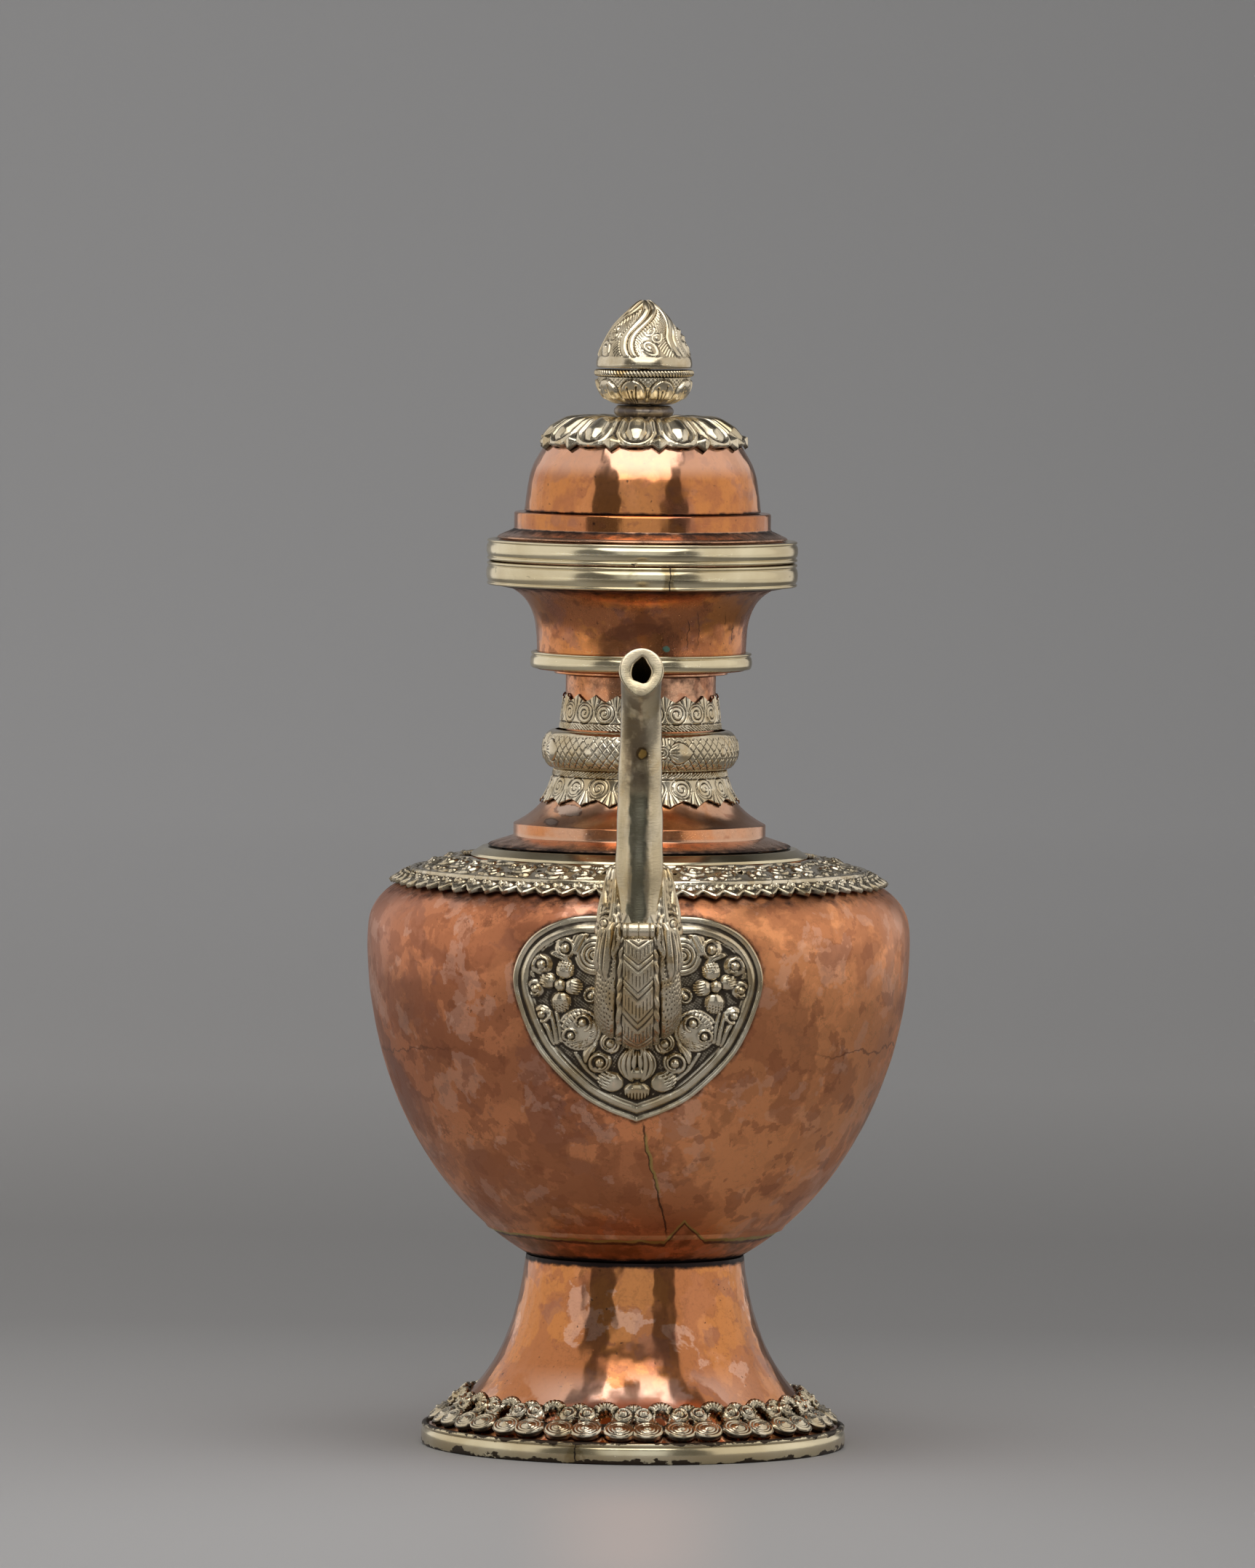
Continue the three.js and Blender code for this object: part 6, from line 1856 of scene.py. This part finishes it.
def tubeRings():
    shares = [
        (-0.04, 0, 87, 1), (0.22, 0.04, 87, 0.92), (0.45, 0.09, 86, 0.6), (0.66, 0.18, 82, 0.28),
        (0.8, 0.32, 72, 0.05), (0.9, 0.55, 58, 0), (0.965, 0.8, 46, 0.05),
    ]
    stations = []
    for up, out, angle, size in shares:
        radius = mix(spoutSizes["topRadius"], spoutSizes["tubeRadius"], size)
        reach, height = mix(tubeReach, tipReach, out), mix(mouthHeight, tipHeight, up)
        stations.append((reach, height, angle, radius, radius))
    return stations


def spoutTube():
    # the tube, its leaning cut face round an egg-shaped hole, and the bore back down to the jaws
    stations, lean = tubeRings(), spoutSizes["tipLean"]
    tip = (tipReach - 0.4, tipHeight, lean, spoutSizes["tipRadius"], 7.76)
    outer, around, along = loft([*stations, tip], -1, 192, 16)
    upFace = (0, 0.26, 0.97)
    keel = np.maximum(0, -np.cos(around[0])) ** 6 * 1.5
    last = outer[-1] - np.outer(keel, upFace)
    middle = last.mean(axis=0)
    forward = np.array([0, -math.cos(math.radians(lean)), math.sin(math.radians(lean))])
    outer[-1] = last
    hole = []
    for a in around[0]:
        narrowing = 1 - 0.42 * max(0, math.cos(a)) ** 2
        hole.append((3.1 * math.sin(a) * narrowing, 4.6 * math.cos(a) * (1 if math.cos(a) > 0 else 0.86)))
    hole = np.array(hole)
    wobbly = 1 + 0.05 * np.sin(3 * around[0] + 1) + 0.04 * np.sin(5 * around[0])
    ring = middle + np.outer(hole[:, 0] * wobbly, (1, 0, 0)) + np.outer(hole[:, 1] * wobbly, upFace)
    leads = ((0.03, 0.28), (0.08, 0.42), (0.2, 0.5), (0.5, 0.42), (0.8, 0.3), (0.93, 0.1), (1.0, -0.5))
    face = np.array([mix(last, ring, share) + lead * forward for share, lead in leads])
    bore = spoutSizes["bore"] * 0.8
    narrow = [(reach, height, angle, bore, bore) for reach, height, angle, _, _ in stations[::-1]]
    inner = loft(narrow, -1, 192, 5)[0]
    places = np.concatenate([outer, face, inner, outer[:1]])
    relief = np.zeros(places.shape[:2])
    blows = np.sin(3 * around + 0.05 * along) * np.sin(along * 0.16 + 2 * around) + np.sin(along * 0.37)
    relief[: len(outer)] = 0.1 * blows * np.clip(along / 4, 0, 1) * np.clip((along.max() - along) / 4, 0, 1)
    bm = pressed(places, relief)
    depth = bm.verts.layers.float["depth"]
    for vert in bm.verts:
        vert[depth] = 0.12
    chase("spoutTube", bm, "vessel", "spout_tube", slot="white_brass", material=tubeBrass)


handleSizes = {"standoff": 40.7, "halfWidth": 6.4, "halfDepth": 5.2, "rootShare": 1.5}


def handle():
    shares = [
        (-0.025, -0.01, 3, 0.95), (0.1, 0.02, 24, 0.9), (0.42, 0.1, 42, 0.5), (0.78, 0.28, 62, 0.1),
        (0.952, 0.5, 82, 0), (0.952, 0.72, 100, 0), (0.72, 0.92, 134, 0), (0.2, 1.02, 164, 0),
        (-0.45, 1.04, 181, 0), (-1, 1, 178, 0), (-1.4275, 1, 168.7, 0.04),
    ]
    top = mix(levels("cup_base_band")[1], levels("cup_rim_band")[0], 0.4)
    root = widest - spoutSizes["throatDrop"] / 2
    stations = []
    for out, up, angle, swell in shares:
        breadth = mix(1, handleSizes["rootShare"], swell)
        stations.append((
            bodyRadius + out * handleSizes["standoff"], mix(root, top, up), angle,
            handleSizes["halfWidth"] * breadth, handleSizes["halfDepth"] * breadth,
        ))
    places, around, along = loft(stations, 1, 96, 18)
    relief = 0.12 * np.sin(along * 0.21 + around) * np.sin(2 * around + along * 0.07) - 0.1
    for at in (9, 11.6):
        relief += ridge(along - at, 1.1, 0.7) + ridge(along.max() - along - at, 1.1, 0.7)
    bm = closed(pressed(places, relief, cavity=0.6))
    chase("handleGrip", bm, "vessel", "handle_grip", slot="white_brass", material=castBrass)


def castMarks(tree, place, colour):
    return blend(tree, 0.2, colour, tone(170, 144, 104))


def tubeMarks(tree, place, colour):
    # a dark stripe down the front, brown above and greenish below, partly a painted reflection of the darker
    # surroundings in front and partly tarnish; a spot of solder and a pale cut face
    x, y, z = millimetres(tree, place)
    colour = blend(tree, 0.3, colour, tone(206, 184, 138))
    # the stripe is partly a painted reflection of the darker surroundings in front and partly tarnish
    edge = scaled(tree, noise(tree, objectPlace(tree, (1, 1, 0.5)), 5, 5, 0.65), -4.4, 4.4)
    away = absolute(tree, plus(tree, plus(tree, x, 0.8), edge))
    reflectionAndTarnishStripe = times(tree, ramp(tree, away, 3.1, 2.7), ramp(tree, y, 0, -5))
    low = times(tree, reflectionAndTarnishStripe, ramp(tree, z, 236, 232))
    colour = blend(tree, times(tree, low, 0.7), colour, tone(88, 92, 78))
    brown = ramp(tree, absolute(tree, plus(tree, x, 1.4)), 6.5, 2)
    brown = times(tree, times(tree, brown, ramp(tree, z, 230, 240)), ramp(tree, z, 276, 262))
    brown = times(tree, brown, patch(tree, place, 6, 0.36, 0.2, 0.4))
    colour = blend(tree, times(tree, brown, 0.75), colour, tone(92, 74, 56))
    dab = (0.6, 247.5)
    colour = blend(tree, times(tree, spot(tree, place, dab, (2.1, 2.3), 1.2), 0.8), colour, tone(84, 62, 36))
    colour = blend(tree, spot(tree, place, dab, (1.4, 1.6), 1.2), colour, tone(190, 152, 84))
    face = plus(tree, z, times(tree, y, -0.27))
    return blend(tree, times(tree, ramp(tree, face, 314, 316), 0.6), colour, tone(232, 214, 184))


castLook = {"roughness": 0.24, "tarnish": 0.7, "recess": 0.8, "scratch": 0.012}
castBrass = silver("castBrass", castLook, castMarks)
tubeLook = {"roughness": 0.17, "tarnish": 0.4, "recess": 0.6, "scratch": 0.06, "brush": (0.35, 0.35, 1.6)}
tubeBrass = silver("tubeBrass", tubeLook, tubeMarks)
creatureThroat()
creatureJaw()
creatureChin()
spoutTube()
handle()
print("spout and handle made")


# CAD nodes that stay as they are
tarnished = tarnish()
for kept in ("finial_stem", "stem_washer"):
    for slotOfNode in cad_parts[kept].material_slots:
        slotOfNode.link = "OBJECT"
        slotOfNode.material = tarnished
